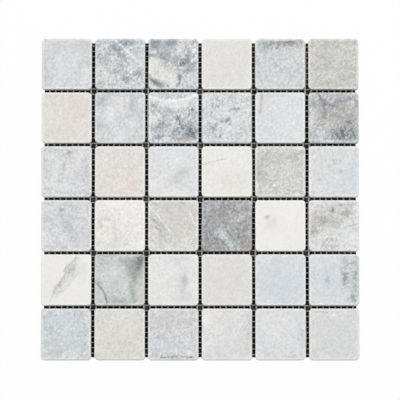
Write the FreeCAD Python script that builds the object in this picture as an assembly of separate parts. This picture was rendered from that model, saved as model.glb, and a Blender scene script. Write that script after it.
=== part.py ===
import FreeCAD, Part
import math
import os
import random

# A sheet of tumbled marble mosaic: six rows of six small tiles, held at an even joint by
# a woven glass-fibre net on a thin black film. The sheet lies face up. The origin is at
# the middle of its underside. +X runs to the right along a row, +Y runs up the columns
# towards row 1, and +Z points out of the stone face. All sizes are in millimetres.

# The laying pattern
ROWS = 6
COLUMNS = 6
TILE_X = 47.6  # width of the least worn tile, along its row
TILE_Y = 48.5  # height of the least worn tile, along its column
TILE_THICK = 9.3  # thickness of the least worn tile
JOINT = 2.85  # open joint between two unworn tiles

# What tumbling takes off a tile
SIZE_LOSS = 0.3  # most that a width or a height loses
THICK_LOSS = 0.3  # most that a thickness loses
CORNER_R = 3.5  # mean corner radius in plan
CORNER_R_SPREAD = 0.9  # how far one corner may lie from that mean
FACE_EDGE = 0.8  # mean bevel worn on the edges round the face
FACE_EDGE_SPREAD = 0.15
WEAR_SEED = 11  # picks each tile's own wear, the same at every build

# The backing
SIDE_SETBACK = 2.7  # from the outer columns' edges in to where the backing is cut
END_SETBACK = 3.1  # the same from the outer rows' edges
FILM_THICK = 0.3
WEFT_WIDTH = 0.9  # of a thread along the rows, one flat yarn
WARP_WIDTH = 1.3  # of a thread along the columns, a pair of yarns
THREAD_THICK = 0.2  # of one thread, pressed flat
CELLS_ACROSS_TILE = 9  # net cells in one tile and joint, along a row
CELLS_UP_TILE = 10  # net cells in one tile and joint, along a column

# Worked out from the sizes above
PITCH_X = TILE_X + JOINT
PITCH_Y = TILE_Y + JOINT
SHEET_X = COLUMNS * PITCH_X - JOINT
SHEET_Y = ROWS * PITCH_Y - JOINT
BACKING_X = SHEET_X - 2 * SIDE_SETBACK
BACKING_Y = SHEET_Y - 2 * END_SETBACK
WEFT_Z = FILM_THICK
WARP_Z = WEFT_Z + THREAD_THICK
TILE_Z = WARP_Z + THREAD_THICK

LEVEL_TOLERANCE = 1e-6  # how close two heights are when they count as one


def rounded_outline(width, height, radii):
    """Return a closed outline about the origin, with a radius for each of its corners."""
    arcs = []
    for corner, radius in enumerate(radii):
        diagonal = math.radians(45 + 90 * corner)
        side_x = math.copysign(1, math.cos(diagonal))
        side_y = math.copysign(1, math.sin(diagonal))
        centre = FreeCAD.Vector(
            side_x * (width / 2 - radius),
            side_y * (height / 2 - radius),
            0,
        )
        points = []
        for turn in (-45, 0, 45):
            angle = diagonal + math.radians(turn)
            spoke = FreeCAD.Vector(math.cos(angle), math.sin(angle), 0)
            points.append(centre + spoke * radius)
        arcs.append(Part.Arc(*points))
    edges = []
    for arc, following in zip(arcs, arcs[1:] + arcs[:1]):
        edges.append(arc.toShape())
        edges.append(Part.LineSegment(arc.EndPoint, following.StartPoint).toShape())
    return Part.Wire(edges)


def edges_at(solid, height):
    """Return the edges of a solid that lie flat at one height."""
    flat = []
    for edge in solid.Edges:
        gaps = (abs(edge.BoundBox.ZMin - height), abs(edge.BoundBox.ZMax - height))
        if max(gaps) < LEVEL_TOLERANCE:
            flat.append(edge)
    return flat


def worn_tile(wear):
    """Return one tumbled tile, centred on the origin with its back at zero height."""
    width = TILE_X - SIZE_LOSS * wear.random()
    height = TILE_Y - SIZE_LOSS * wear.random()
    thick = TILE_THICK - THICK_LOSS * wear.random()
    face_edge = FACE_EDGE + FACE_EDGE_SPREAD * wear.uniform(-1, 1)
    radii = [CORNER_R + CORNER_R_SPREAD * wear.uniform(-1, 1) for _ in range(4)]
    outline = rounded_outline(width, height, radii)
    tile = Part.Face(outline).extrude(FreeCAD.Vector(0, 0, thick))
    return tile.makeChamfer(face_edge, edges_at(tile, thick))


def tile_field():
    """Return every tile under its node's name, laid out with row 1 at the top."""
    wear = random.Random(WEAR_SEED)
    tiles = {}
    for row in range(ROWS):
        for column in range(COLUMNS):
            tile = worn_tile(wear)
            x = (column - (COLUMNS - 1) / 2) * PITCH_X
            y = ((ROWS - 1) / 2 - row) * PITCH_Y
            tile.translate(FreeCAD.Vector(x, y, TILE_Z))
            tiles[f"tile_r{row + 1}_c{column + 1}"] = tile
    return tiles


def thread_places(cell, width, span):
    """Return where parallel threads lie across a span, half a cell off each joint's middle."""
    pairs = int((span - width) / 2 / cell + 0.5)
    return [(step + 0.5) * cell for step in range(-pairs, pairs)]


def flat_bar(x, y, z, length_x, length_y, thick):
    """Return a flat bar centred on x and y, with its underside at height z."""
    corner = FreeCAD.Vector(x - length_x / 2, y - length_y / 2, z)
    return Part.makeBox(length_x, length_y, thick, corner)


def weft_threads():
    """Return the threads along the rows, which lie on the film."""
    bars = []
    for y in thread_places(PITCH_Y / CELLS_UP_TILE, WEFT_WIDTH, BACKING_Y):
        bars.append(flat_bar(0, y, WEFT_Z, BACKING_X, WEFT_WIDTH, THREAD_THICK))
    return Part.makeCompound(bars)


def warp_threads():
    """Return the threads along the columns, which cross over the weft and carry the tiles."""
    bars = []
    for x in thread_places(PITCH_X / CELLS_ACROSS_TILE, WARP_WIDTH, BACKING_X):
        bars.append(flat_bar(x, 0, WARP_Z, WARP_WIDTH, BACKING_Y, THREAD_THICK))
    return Part.makeCompound(bars)


def backing_film():
    """Return the black film under the net, cut to the net's size."""
    return flat_bar(0, 0, 0, BACKING_X, BACKING_Y, FILM_THICK)


nodes = tile_field()
nodes["net_weft_threads"] = weft_threads()
nodes["net_warp_threads"] = warp_threads()
nodes["backing_film"] = backing_film()

os.makedirs("parts", exist_ok=True)
for name, shape in nodes.items():
    shape.exportStep(f"parts/{name}.step")
    print(name, len(shape.Solids), round(shape.Volume, 1), shape.isValid())
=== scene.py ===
# %% [markdown]
# # A sheet of tumbled marble mosaic
#
# The real object is a square of thirty-six small marble tiles. A light woven net and a thin
# black film hold them at an even joint, so that a tiler can bed the whole square at once.
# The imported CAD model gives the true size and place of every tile, of the net's threads and
# of the film. This script keeps those sizes and adds what the solids leave plain: the worn
# edges, the weave and the stone.

# %% The fixed frame
import math
import random

import bmesh
import bpy
from mathutils import Matrix, Vector, noise


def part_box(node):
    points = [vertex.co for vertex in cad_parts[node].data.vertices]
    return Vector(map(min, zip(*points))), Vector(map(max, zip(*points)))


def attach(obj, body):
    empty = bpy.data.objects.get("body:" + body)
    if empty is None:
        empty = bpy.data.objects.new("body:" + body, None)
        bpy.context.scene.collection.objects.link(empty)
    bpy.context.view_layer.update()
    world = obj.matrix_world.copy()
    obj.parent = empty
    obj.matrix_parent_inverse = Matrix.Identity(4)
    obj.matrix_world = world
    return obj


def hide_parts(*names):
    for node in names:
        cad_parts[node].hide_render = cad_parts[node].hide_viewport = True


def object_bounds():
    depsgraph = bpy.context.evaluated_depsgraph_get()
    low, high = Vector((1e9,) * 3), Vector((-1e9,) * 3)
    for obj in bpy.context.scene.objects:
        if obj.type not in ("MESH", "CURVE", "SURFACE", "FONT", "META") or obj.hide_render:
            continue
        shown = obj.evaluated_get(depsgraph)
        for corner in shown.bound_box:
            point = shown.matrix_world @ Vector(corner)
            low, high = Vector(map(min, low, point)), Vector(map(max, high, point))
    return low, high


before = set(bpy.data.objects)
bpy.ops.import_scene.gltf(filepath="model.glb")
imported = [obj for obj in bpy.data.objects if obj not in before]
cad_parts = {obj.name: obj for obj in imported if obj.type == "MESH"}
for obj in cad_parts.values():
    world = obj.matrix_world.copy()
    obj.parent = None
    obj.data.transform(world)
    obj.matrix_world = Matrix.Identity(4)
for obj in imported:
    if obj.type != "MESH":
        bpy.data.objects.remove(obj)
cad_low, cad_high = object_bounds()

MM = 0.001
ROWS = 6
COLUMNS = 6
print("CAD size in mm:", [round(side / MM, 2) for side in cad_high - cad_low])

# %% [markdown]
# ## The camera
#
# The photograph looks down on the sheet from far away, but not quite straight: the tiles'
# lower walls show as thin strips, and the black backing sits a little low in the joints. A
# tilt of a few degrees towards the bottom of the picture gives both. An orthographic camera
# would do, but a very long perspective lens frames the sheet just as flatly and also serves
# the other views. The distance follows from the lens and from how much the picture spans.

# %% A long lens, tilted a few degrees
PICTURE_PIXELS = 400
MM_PER_PIXEL = 0.943
LENS_MM = 400
TILT = math.radians(7)
AIM = Vector((-0.1 * MM, -1.5 * MM, cad_high.z))
picture_span = PICTURE_PIXELS * MM_PER_PIXEL * MM

camera_data = bpy.data.cameras.new("camera")
camera_data.lens = LENS_MM
camera_distance = picture_span * LENS_MM / camera_data.sensor_width
camera_data.clip_end = 2 * camera_distance
toward_camera = Vector((0, -math.sin(TILT), math.cos(TILT)))
camera = bpy.data.objects.new("camera", camera_data)
camera.location = AIM + toward_camera * camera_distance
camera.rotation_euler = (-toward_camera).to_track_quat("-Z", "Y").to_euler()
bpy.context.scene.collection.objects.link(camera)
bpy.context.scene.camera = camera
print("camera distance in m:", round(camera_distance, 3))

# %% [markdown]
# ## Light and floor
#
# The tiles' upper edges are a little brighter than their lower ones, so the softest lamp
# stands towards the top of the picture. It could be a sun, but that would draw hard lines
# in the joints. A large area lamp and a pale sky give the soft studio light instead. Their
# strengths add up to a level where a colour renders about as it is written.

# %% Sky and lamp
SKY_STRENGTH = 0.68
LAMP_WATTS = 10.0
LAMP_SIZE = 1.1
LAMP_PLACE = Vector((0.12, 0.68, 1.44))

scene = bpy.context.scene
scene.view_settings.view_transform = "Standard"


def camera_sees(tree):
    """Return a socket that is 1 for what the camera, a mirror or a glass sees directly."""
    path = tree.nodes.new("ShaderNodeLightPath")
    direct = path.outputs["Is Camera Ray"]
    for ray in ("Is Glossy Ray", "Is Transmission Ray"):
        either = tree.nodes.new("ShaderNodeMath")
        either.operation = "MAXIMUM"
        tree.links.new(direct, either.inputs[0])
        tree.links.new(path.outputs[ray], either.inputs[1])
        direct = either.outputs[0]
    return direct


def between(tree, value, low, high):
    """Stretch a socket's value, which runs from 0 to 1, so that it runs from low to high."""
    node = tree.nodes.new("ShaderNodeMapRange")
    node.inputs["To Min"].default_value = low
    node.inputs["To Max"].default_value = high
    tree.links.new(value, node.inputs["Value"])
    return node.outputs["Result"]


def make_sky():
    """Make a sky that looks fully white but lights the sheet with less."""
    world = bpy.data.worlds.new("studio")
    world.use_nodes = True
    tree = world.node_tree
    background = tree.nodes["Background"]
    background.inputs["Color"].default_value = (1, 1, 1, 1)
    strength = between(tree, camera_sees(tree), SKY_STRENGTH, 1.0)
    tree.links.new(strength, background.inputs["Strength"])
    scene.world = world


def make_lamp():
    data = bpy.data.lights.new("softbox", "AREA")
    data.energy = LAMP_WATTS
    data.shape = "SQUARE"
    data.size = LAMP_SIZE
    lamp = bpy.data.objects.new("softbox", data)
    lamp.location = LAMP_PLACE
    lamp.rotation_euler = (-LAMP_PLACE).to_track_quat("-Z", "Y").to_euler()
    scene.collection.objects.link(lamp)


make_sky()
make_lamp()
print("sky", SKY_STRENGTH, "lamp watts", LAMP_WATTS)

# %% [markdown]
# The sheet lies on white paper that is brighter than a plain white surface would render. The
# paper could be lit by lamps of its own. It is simpler to let the camera see mostly a glow,
# with a small share of the real surface, so that a trace of the sheet's shadow stays.

# %% The white paper
FLOOR_SIZE = 14.0
FLOOR_WHITE = (0.86, 0.86, 0.86, 1)
FLOOR_ROUGHNESS = 0.9
FLOOR_SHADE_SHARE = 0.05


def new_material(name):
    """Return a new material, its node tree and its shader."""
    material = bpy.data.materials.new(name)
    material.use_nodes = True
    return material, material.node_tree, material.node_tree.nodes["Principled BSDF"]


def make_floor():
    shape = bmesh.new()
    bmesh.ops.create_grid(shape, x_segments=1, y_segments=1, size=FLOOR_SIZE / 2)
    mesh = bpy.data.meshes.new("floor")
    shape.to_mesh(mesh)
    shape.free()
    floor = bpy.data.objects.new("floor", mesh)
    scene.collection.objects.link(floor)
    material, tree, shader = new_material("white_paper_floor")
    shader.inputs["Base Color"].default_value = FLOOR_WHITE
    shader.inputs["Roughness"].default_value = FLOOR_ROUGHNESS
    glow = tree.nodes.new("ShaderNodeEmission")
    share = between(tree, camera_sees(tree), 0.0, 1 - FLOOR_SHADE_SHARE)
    mix = tree.nodes.new("ShaderNodeMixShader")
    tree.links.new(share, mix.inputs["Fac"])
    tree.links.new(shader.outputs[0], mix.inputs[1])
    tree.links.new(glow.outputs[0], mix.inputs[2])
    tree.links.new(mix.outputs[0], tree.nodes["Material Output"].inputs["Surface"])
    mesh.materials.append(material)


make_floor()
print("paper's side in m:", FLOOR_SIZE)

# %% [markdown]
# ## The tiles' shape
#
# A tumbled tile is sawn square and then turned in a drum with others, which rounds its
# corners and edges and bruises them here and there. The CAD solid tells each tile's size and
# the radius of each corner. The radius could be a number written here, but a corner that is
# measured on the solid can't disagree with it: a round corner falls short of a sharp one by
# a fixed share of its radius.

# %% What a CAD tile measures
DIAGONAL_LOSS = 2 - math.sqrt(2)


def tile_name(row, column):
    return f"tile_r{row}_c{column}"


def box_middle_and_half(node):
    """Return the middle of a node's box and half its size."""
    low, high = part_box(node)
    return (low + high) / 2, (high - low) / 2


def corner_radius(node, middle, half, side_x, side_y):
    """Return the radius of one corner, from how far it falls short of a sharp one."""
    reach = max(
        side_x * (vertex.co.x - middle.x) + side_y * (vertex.co.y - middle.y)
        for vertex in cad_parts[node].data.vertices
    )
    return (half.x + half.y - reach) / DIAGONAL_LOSS


first_middle, first_half = box_middle_and_half(tile_name(1, 1))
first_radius = corner_radius(tile_name(1, 1), first_middle, first_half, 1, 1)
print("first tile's corner radius in mm:", round(first_radius / MM, 2))

# %% [markdown]
# A cube with a bevel for each upright edge, and then for the edges of its face and its back,
# gives the tumbled form. A bevel modifier gives one radius to all corners, and these four
# differ, so bmesh bevels them one at a time.

# %% A blank with rounded corners and edges
CORNER_SEGMENTS = 9
FACE_ROUND = 0.75 * MM
FACE_ROUND_SPREAD = (0.85, 1.15)
FACE_SEGMENTS = 5
BACK_ROUND = 0.7 * MM
BACK_SEGMENTS = 3
SIDES = ((-1, -1), (1, -1), (1, 1), (-1, 1))
SAME_PLACE = 1e-7
UPRIGHT_BELOW = 0.5


def bevel(shape, edges, size, segments):
    bmesh.ops.bevel(
        shape,
        geom=edges,
        offset=size,
        offset_type="OFFSET",
        segments=segments,
        profile=0.5,
        affect="EDGES",
        material=-1,
    )


def rim_edges(shape, height):
    """Return the edges that lie flat at one height and have an upright face beside them."""
    found = []
    for edge in shape.edges:
        level = all(abs(end.co.z - height) < SAME_PLACE for end in edge.verts)
        if level and any(abs(face.normal.z) < UPRIGHT_BELOW for face in edge.link_faces):
            found.append(edge)
    return found


def tile_blank(half, radii, wear):
    """Return a tile about the origin, with a radius for each corner in the order of SIDES."""
    shape = bmesh.new()
    bmesh.ops.create_cube(shape, size=2)
    bmesh.ops.scale(shape, vec=half, verts=shape.verts)
    for (side_x, side_y), radius in zip(SIDES, radii):
        upright = [
            edge
            for edge in shape.edges
            if all(abs(end.co.x - side_x * half.x) < SAME_PLACE for end in edge.verts)
            and all(abs(end.co.y - side_y * half.y) < SAME_PLACE for end in edge.verts)
        ]
        bevel(shape, upright, radius, CORNER_SEGMENTS)
    face_round = FACE_ROUND * wear.uniform(*FACE_ROUND_SPREAD)
    shape.normal_update()
    bevel(shape, rim_edges(shape, half.z), face_round, FACE_SEGMENTS)
    shape.normal_update()
    bevel(shape, rim_edges(shape, -half.z), BACK_ROUND, BACK_SEGMENTS)
    return shape


face_rounds = [round(share * FACE_ROUND / MM, 2) for share in FACE_ROUND_SPREAD]
print("rounding of a face in mm, least and most:", face_rounds)

# %% [markdown]
# Dents need points to move. Subdividing the whole tile would give most of its points to the
# flat middle, which hardly changes. Knife cuts through the tile go where they are needed:
# close together near the sides, where the wear is, and far apart in between.

# %% Knife cuts that make the mesh fine
EDGE_BAND = 4 * MM
FINE_STEP = 0.4 * MM
COARSE_STEP = 1.7 * MM
WALL_CUTS = 5
KNIFE_REACH = 1e-8


def cut_places(half):
    """Return places across a tile that lie closer together near its two sides."""
    inner = half - EDGE_BAND
    count = math.ceil(2 * inner / COARSE_STEP)
    places = [inner * (2 * step / count - 1) for step in range(count + 1)]
    for step in range(1, round(EDGE_BAND / FINE_STEP)):
        places += [inner + step * FINE_STEP, -inner - step * FINE_STEP]
    return places


def knife(shape, point, normal, drop_outside=False):
    """Cut a whole shape along a plane, and drop what lies beyond it where that is asked."""
    everything = shape.verts[:] + shape.edges[:] + shape.faces[:]
    bmesh.ops.bisect_plane(
        shape,
        geom=everything,
        dist=KNIFE_REACH,
        plane_co=point,
        plane_no=normal,
        clear_outer=drop_outside,
    )


def cut_fine(shape, half):
    for place in cut_places(half.x):
        knife(shape, (place, 0, 0), (1, 0, 0))
    for place in cut_places(half.y):
        knife(shape, (0, place, 0), (0, 1, 0))
    for step in range(1, WALL_CUTS):
        knife(shape, (0, 0, half.z * (2 * step / WALL_CUTS - 1)), (0, 0, 1))


print("knife cuts across a tile:", len(cut_places(first_half.x)))
print("knife cuts up a tile:", len(cut_places(first_half.y)))

# %% [markdown]
# ## The wear
#
# Tumbling is uneven: an edge waves a little, small chips are knocked out of it, and the face
# keeps a faint swell. A displacement modifier could do this, but plain noise on each vertex
# lets the wear fade out away from the rim and leaves a number behind, `edge_wear`, that the
# stone's finish reads: bruised marble is paler than polished marble.

# %% How worn a point is
PLAN_CORNER = 3.5 * MM
CHIPS_PER_TILE = (3, 7)
CHIP_ALONG = (-0.95, 0.95)
CHIP_HEIGHT = (-0.6 * MM, 0.2 * MM)
CHIP_RADIUS = (0.7 * MM, 1.9 * MM)
CHIP_DEPTH_SHARE = 0.38


def rise(value, start, end):
    """Return 0 up to start, 1 from end on and a soft rise between them."""
    share = min(max((value - start) / (end - start), 0), 1)
    return share * share * (3 - 2 * share)


def inset_from_side(place, half):
    """Return how far a point lies inside the tile's rounded outline."""
    past_x = abs(place.x) - (half.x - PLAN_CORNER)
    past_y = abs(place.y) - (half.y - PLAN_CORNER)
    if past_x > 0 and past_y > 0:
        return PLAN_CORNER - math.hypot(past_x, past_y)
    return PLAN_CORNER - max(past_x, past_y)


def pick_chips(half, wear):
    """Return a centre and a radius for each chip, all on the face's rim."""
    chips = []
    for _ in range(wear.randint(*CHIPS_PER_TILE)):
        along = wear.uniform(*CHIP_ALONG)
        side = wear.choice((-1, 1))
        runs_across = wear.random() < 0.5
        x_share, y_share = (along, side) if runs_across else (side, along)
        height = half.z + wear.uniform(*CHIP_HEIGHT)
        centre = Vector((x_share * half.x, y_share * half.y, height))
        chips.append((centre, wear.uniform(*CHIP_RADIUS)))
    return chips


def chip_loss(place, chips):
    """Return the depth that the chips take at a point, and how fresh the break is."""
    loss = 0.0
    fresh = 0.0
    for centre, radius in chips:
        gap = (place - centre).length / radius
        if gap < 1:
            bowl = (1 - gap * gap) ** 2
            loss = max(loss, bowl * radius * CHIP_DEPTH_SHARE)
            fresh = max(fresh, bowl)
    return loss, fresh


print("depth of the largest chip in mm:", round(CHIP_RADIUS[1] * CHIP_DEPTH_SHARE / MM, 2))

# %% [markdown]
# Each tile gets its own wear from a seed that follows from its place. The waves of the rim,
# the nibbles in it, the swell of the face and the bruises are four noises of different span.

# %% Wearing the tiles
RIM_REACH = 1.9 * MM
WAVE_DEPTH = 0.16 * MM
WAVE_SPAN_MM = 7
NIBBLE_DEPTH = 0.55 * MM
NIBBLE_SPAN_MM = 1.9
NIBBLE_START = 0.2
SWELL_DEPTH = 0.07 * MM
SWELL_SPAN_MM = 13
BRUISE_INSET = (3.0 * MM, 0.9 * MM)
BRUISE_DROP = (4.0 * MM, 1.0 * MM)
BRUISE_SPAN_MM = 2.7
BRUISE_EVEN = 0.8
BRUISE_UNEVEN = 0.5
NOISE_SHIFT = Vector((17.3, 5.1, 9.7))


def bruise_at(place, inset, half, spot):
    """Return how bruised the stone is near the rim of its face, from 0 up to about 1."""
    beside = rise(-inset, -BRUISE_INSET[0], -BRUISE_INSET[1])
    above = rise(place.z, half.z - BRUISE_DROP[0], half.z - BRUISE_DROP[1])
    strength = BRUISE_EVEN + BRUISE_UNEVEN * noise.noise(spot / BRUISE_SPAN_MM)
    return beside * above * strength


def wear_tile(shape, half, seed, chips):
    """Press every point in by what the wear takes, and note how bruised it is."""
    worn = shape.verts.layers.float.new("edge_wear")
    shape.normal_update()
    shift = NOISE_SHIFT * seed
    for vertex in shape.verts:
        place = vertex.co
        spot = place / MM + shift
        inset = inset_from_side(place, half)
        top = rise(place.z, half.z - RIM_REACH, half.z)
        rim = rise(-inset, -RIM_REACH, 0) * top
        wave = 0.5 + 0.5 * noise.noise(spot / WAVE_SPAN_MM)
        nibble = max(0.0, noise.noise(spot / NIBBLE_SPAN_MM) - NIBBLE_START)
        swell = 0.5 + 0.5 * noise.noise(spot / SWELL_SPAN_MM)
        loss = rim * (WAVE_DEPTH * wave + NIBBLE_DEPTH * nibble) + top * SWELL_DEPTH * swell
        bruise = bruise_at(place, inset, half, spot)
        if rim > 0:
            chipped, fresh = chip_loss(place, chips)
            loss = max(loss, chipped)
            bruise = max(bruise, fresh)
        vertex[worn] = min(max(bruise, 0), 1)
        vertex.co = place - vertex.normal * loss


def finish_piece(name, shape, slot, *nodes):
    """Turn a finished bmesh into a smooth object that rides with the sheet."""
    for face in shape.faces:
        face.smooth = True
    mesh = bpy.data.meshes.new(name)
    shape.to_mesh(mesh)
    shape.free()
    piece = bpy.data.objects.new(name, mesh)
    scene.collection.objects.link(piece)
    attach(piece, "root")
    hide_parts(*nodes)
    return piece


def make_tile(row, column):
    node = tile_name(row, column)
    middle, half = box_middle_and_half(node)
    radii = [corner_radius(node, middle, half, *side) for side in SIDES]
    seed = row * 10 + column
    wear = random.Random(seed)
    shape = tile_blank(half, radii, wear)
    cut_fine(shape, half)
    wear_tile(shape, half, seed, pick_chips(half, wear))
    bmesh.ops.translate(shape, vec=middle, verts=shape.verts)
    return finish_piece(f"marble_{node}", shape, "marble", node)


tiles = {}
for row in range(1, ROWS + 1):
    for column in range(1, COLUMNS + 1):
        tiles[row, column] = make_tile(row, column)
print("tiles:", len(tiles), "faces in the first:", len(tiles[1, 1].data.polygons))

# %% [markdown]
# ## Helpers for materials
#
# Every finish here is made of nodes, with no pictures, so that it can be seen from close by
# and from any side. A few helpers keep the node work readable: one feeds a socket with a
# number or with another socket, and the others add a Math, Vector Math, Noise or Mix node
# and return its result. Blender's nodes take linear light values, while a picture shows
# colours on a curve, so `seen` turns the one into the other.

# %% Small node helpers
NOISE_MIDDLE = 0.5


def feed(tree, target, value):
    if isinstance(value, bpy.types.NodeSocket):
        tree.links.new(value, target)
    else:
        target.default_value = value


def reckon(tree, operation, *values):
    """Add a Math node on sockets or plain numbers, and return its result."""
    node = tree.nodes.new("ShaderNodeMath")
    node.operation = operation
    for target, value in zip(node.inputs, values):
        feed(tree, target, value)
    return node.outputs[0]


def reckon_vector(tree, operation, *values):
    """Add a Vector Math node, and return its result, which is a number for a length."""
    node = tree.nodes.new("ShaderNodeVectorMath")
    node.operation = operation
    for target, value in zip(node.inputs, values):
        feed(tree, target, value)
    if operation in ("LENGTH", "DOT_PRODUCT", "DISTANCE"):
        return node.outputs["Value"]
    return node.outputs["Vector"]


def scaled_vector(tree, vector, factor):
    node = tree.nodes.new("ShaderNodeVectorMath")
    node.operation = "SCALE"
    feed(tree, node.inputs[0], vector)
    feed(tree, node.inputs["Scale"], factor)
    return node.outputs["Vector"]


def turned(tree, vector, angle):
    """Turn a vector about the upright axis."""
    node = tree.nodes.new("ShaderNodeVectorRotate")
    node.rotation_type = "Z_AXIS"
    feed(tree, node.inputs["Vector"], vector)
    feed(tree, node.inputs["Angle"], angle)
    return node.outputs["Vector"]


def noise_at(tree, vector, seed, scale, detail=3.0, roughness=0.5, coloured=False):
    """Add a Noise node whose fourth coordinate is the seed, and return its level or colour."""
    node = tree.nodes.new("ShaderNodeTexNoise")
    node.noise_dimensions = "4D"
    feed(tree, node.inputs["Vector"], vector)
    feed(tree, node.inputs["W"], seed)
    node.inputs["Scale"].default_value = scale
    node.inputs["Detail"].default_value = detail
    node.inputs["Roughness"].default_value = roughness
    return node.outputs[1 if coloured else 0]


def swing(tree, level, strength):
    """Return how far a noise lies from its middle value, times a strength."""
    return reckon(tree, "MULTIPLY", reckon(tree, "SUBTRACT", level, NOISE_MIDDLE), strength)


def smooth_step(tree, value, start, end):
    """Return 0 below start, 1 above end and a soft rise between them."""
    node = tree.nodes.new("ShaderNodeMapRange")
    node.interpolation_type = "SMOOTHSTEP"
    feed(tree, node.inputs["Value"], value)
    feed(tree, node.inputs["From Min"], start)
    feed(tree, node.inputs["From Max"], end)
    return node.outputs["Result"]


def blend_colours(tree, amount, first, second, clamp=True):
    """Add a Mix node for colours, whose sockets 6 and 7 take them, and return its result."""
    node = tree.nodes.new("ShaderNodeMix")
    node.data_type = "RGBA"
    node.clamp_factor = clamp
    feed(tree, node.inputs[0], amount)
    feed(tree, node.inputs[6], first)
    feed(tree, node.inputs[7], second)
    return node.outputs[2]


def seen(red, green, blue):
    """Return the linear colour for one as a picture shows it, each part from 0 to 255."""
    return tuple(((part / 255 + 0.055) / 1.055) ** 2.4 for part in (red, green, blue)) + (1,)


print("a picture's middle grey as a linear value:", round(seen(128, 128, 128)[0], 3))

# %% [markdown]
# Thirty-six stones share the same few steps. Repeating their nodes in every material would
# work, but a node group is built once and then takes each tile's values through its sockets.

# %% Helpers for node groups
def new_group(name, takes, gives):
    """Make an empty group with these sockets, and return its tree, inputs and outputs."""
    tree = bpy.data.node_groups.new(name, "ShaderNodeTree")
    for socket, kind in takes.items():
        tree.interface.new_socket(socket, in_out="INPUT", socket_type="NodeSocket" + kind)
    for socket, kind in gives.items():
        tree.interface.new_socket(socket, in_out="OUTPUT", socket_type="NodeSocket" + kind)
    inside = tree.nodes.new("NodeGroupInput")
    outside = tree.nodes.new("NodeGroupOutput")
    return tree, inside.outputs, outside.inputs


def use_group(tree, group, **values):
    """Add a group to a material's tree, feed it, and return its outputs."""
    node = tree.nodes.new("ShaderNodeGroup")
    node.node_tree = group
    for socket, value in values.items():
        feed(tree, node.inputs[socket], value)
    return node.outputs


print("node groups so far:", len(bpy.data.node_groups))

# %% [markdown]
# ## Three groups that draw marble
#
# Marble is limestone that heat and pressure have turned to crystals. Clay and iron in it
# were smeared out into clouds and thin veins. The ground of a tile is a broad and a fine
# noise, a little stretched, because the stone has a bed. Where a tile has them, dark pepper
# in clusters, pale crystals and hair-thin lines join the ground. One noise alone would look
# like smoke: it takes several spans at once to read as stone.

# %% The ground: mottling, speckle, pepper and hairlines
# Each noise has its scale, its detail and its roughness.
MOTTLE_NOISE = (1.7, 4.0, 0.6)
SPECKLE_NOISE = (11.0, 5.0, 0.6)
PEPPER_NOISE = (9.0, 4.0, 0.65)
CLUSTER_NOISE = (2.2, 3.0, 0.6)
CRYSTAL_NOISE = (11.0, 3.0, 0.6)
HAIR_NOISE = (2.8, 5.0, 0.6)
PEPPER_SEED = 20.0
CLUSTER_SEED = 30.0
CRYSTAL_SEED = 60.0
DARK_HAIR_SEED = 50.0
PALE_HAIR_SEED = 90.0
MIDDLE_TONE = 0.5
MOTTLE_STRENGTH = 2.0
SPECKLE_STRENGTH = 6.0
PEPPER_EDGE = (0.5, 0.6)
CLUSTER_EDGE = (0.42, 0.6)
CRYSTAL_EDGE = (0.53, 0.63)
HAIR_WIDTH = 0.03
BED_STRETCH = (0.9, 1.1, 1.0)

ground, takes, gives = new_group(
    "marble_ground",
    {
        "Vector": "Vector",
        "Seed": "Float",
        "Bed": "Float",
        "Pale": "Color",
        "Deep": "Color",
        "Mottle": "Float",
        "Speckle": "Float",
        "Pepper": "Float",
        "Hair": "Float",
    },
    {"Color": "Color", "Speck": "Float", "Crystal": "Float"},
)


def shifted_noise(vector, shift, settings):
    """Return a noise of the ground whose seed is shifted from the tile's own."""
    return noise_at(ground, vector, reckon(ground, "ADD", takes["Seed"], shift), *settings)


def hairlines(vector, shift):
    """Return thin lines along which a noise passes through its middle value."""
    level = shifted_noise(vector, shift, HAIR_NOISE)
    off_middle = reckon(ground, "ABSOLUTE", reckon(ground, "SUBTRACT", level, NOISE_MIDDLE))
    return smooth_step(ground, off_middle, HAIR_WIDTH, 0.0)


bedded = turned(ground, takes["Vector"], takes["Bed"])
bedded = reckon_vector(ground, "MULTIPLY", bedded, BED_STRETCH)
broad = noise_at(ground, bedded, takes["Seed"], *MOTTLE_NOISE)
fine = noise_at(ground, bedded, takes["Seed"], *SPECKLE_NOISE)
grains = shifted_noise(takes["Vector"], PEPPER_SEED, PEPPER_NOISE)
clusters = shifted_noise(takes["Vector"], CLUSTER_SEED, CLUSTER_NOISE)
crystals = shifted_noise(takes["Vector"], CRYSTAL_SEED, CRYSTAL_NOISE)
tone = MIDDLE_TONE
for level, share, strength in (
    (broad, "Mottle", MOTTLE_STRENGTH),
    (fine, "Speckle", SPECKLE_STRENGTH),
):
    tone = reckon(ground, "MULTIPLY_ADD", swing(ground, level, strength), takes[share], tone)
pepper = reckon(
    ground,
    "MULTIPLY",
    smooth_step(ground, grains, *PEPPER_EDGE),
    smooth_step(ground, clusters, *CLUSTER_EDGE),
)
tone = reckon(ground, "SUBTRACT", tone, reckon(ground, "MULTIPLY", pepper, takes["Pepper"]))
dark_hair = hairlines(bedded, DARK_HAIR_SEED)
hair = reckon(ground, "SUBTRACT", hairlines(bedded, PALE_HAIR_SEED), dark_hair)
tone = reckon(ground, "MULTIPLY_ADD", hair, takes["Hair"], tone)
ground_colour = blend_colours(ground, tone, takes["Deep"], takes["Pale"], clamp=False)
ground.links.new(ground_colour, gives["Color"])
ground.links.new(fine, gives["Speck"])
ground.links.new(smooth_step(ground, crystals, *CRYSTAL_EDGE), gives["Crystal"])
print("nodes in the ground:", len(ground.nodes))

# %% [markdown]
# A cloud is an oval patch whose edge another noise tears. Its grain turns it into specks that
# lie closer towards its middle, and a thin cloud has fewer of them. Its oval ignores the
# height, so that a figure runs down through the tile as it does in stone.

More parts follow.
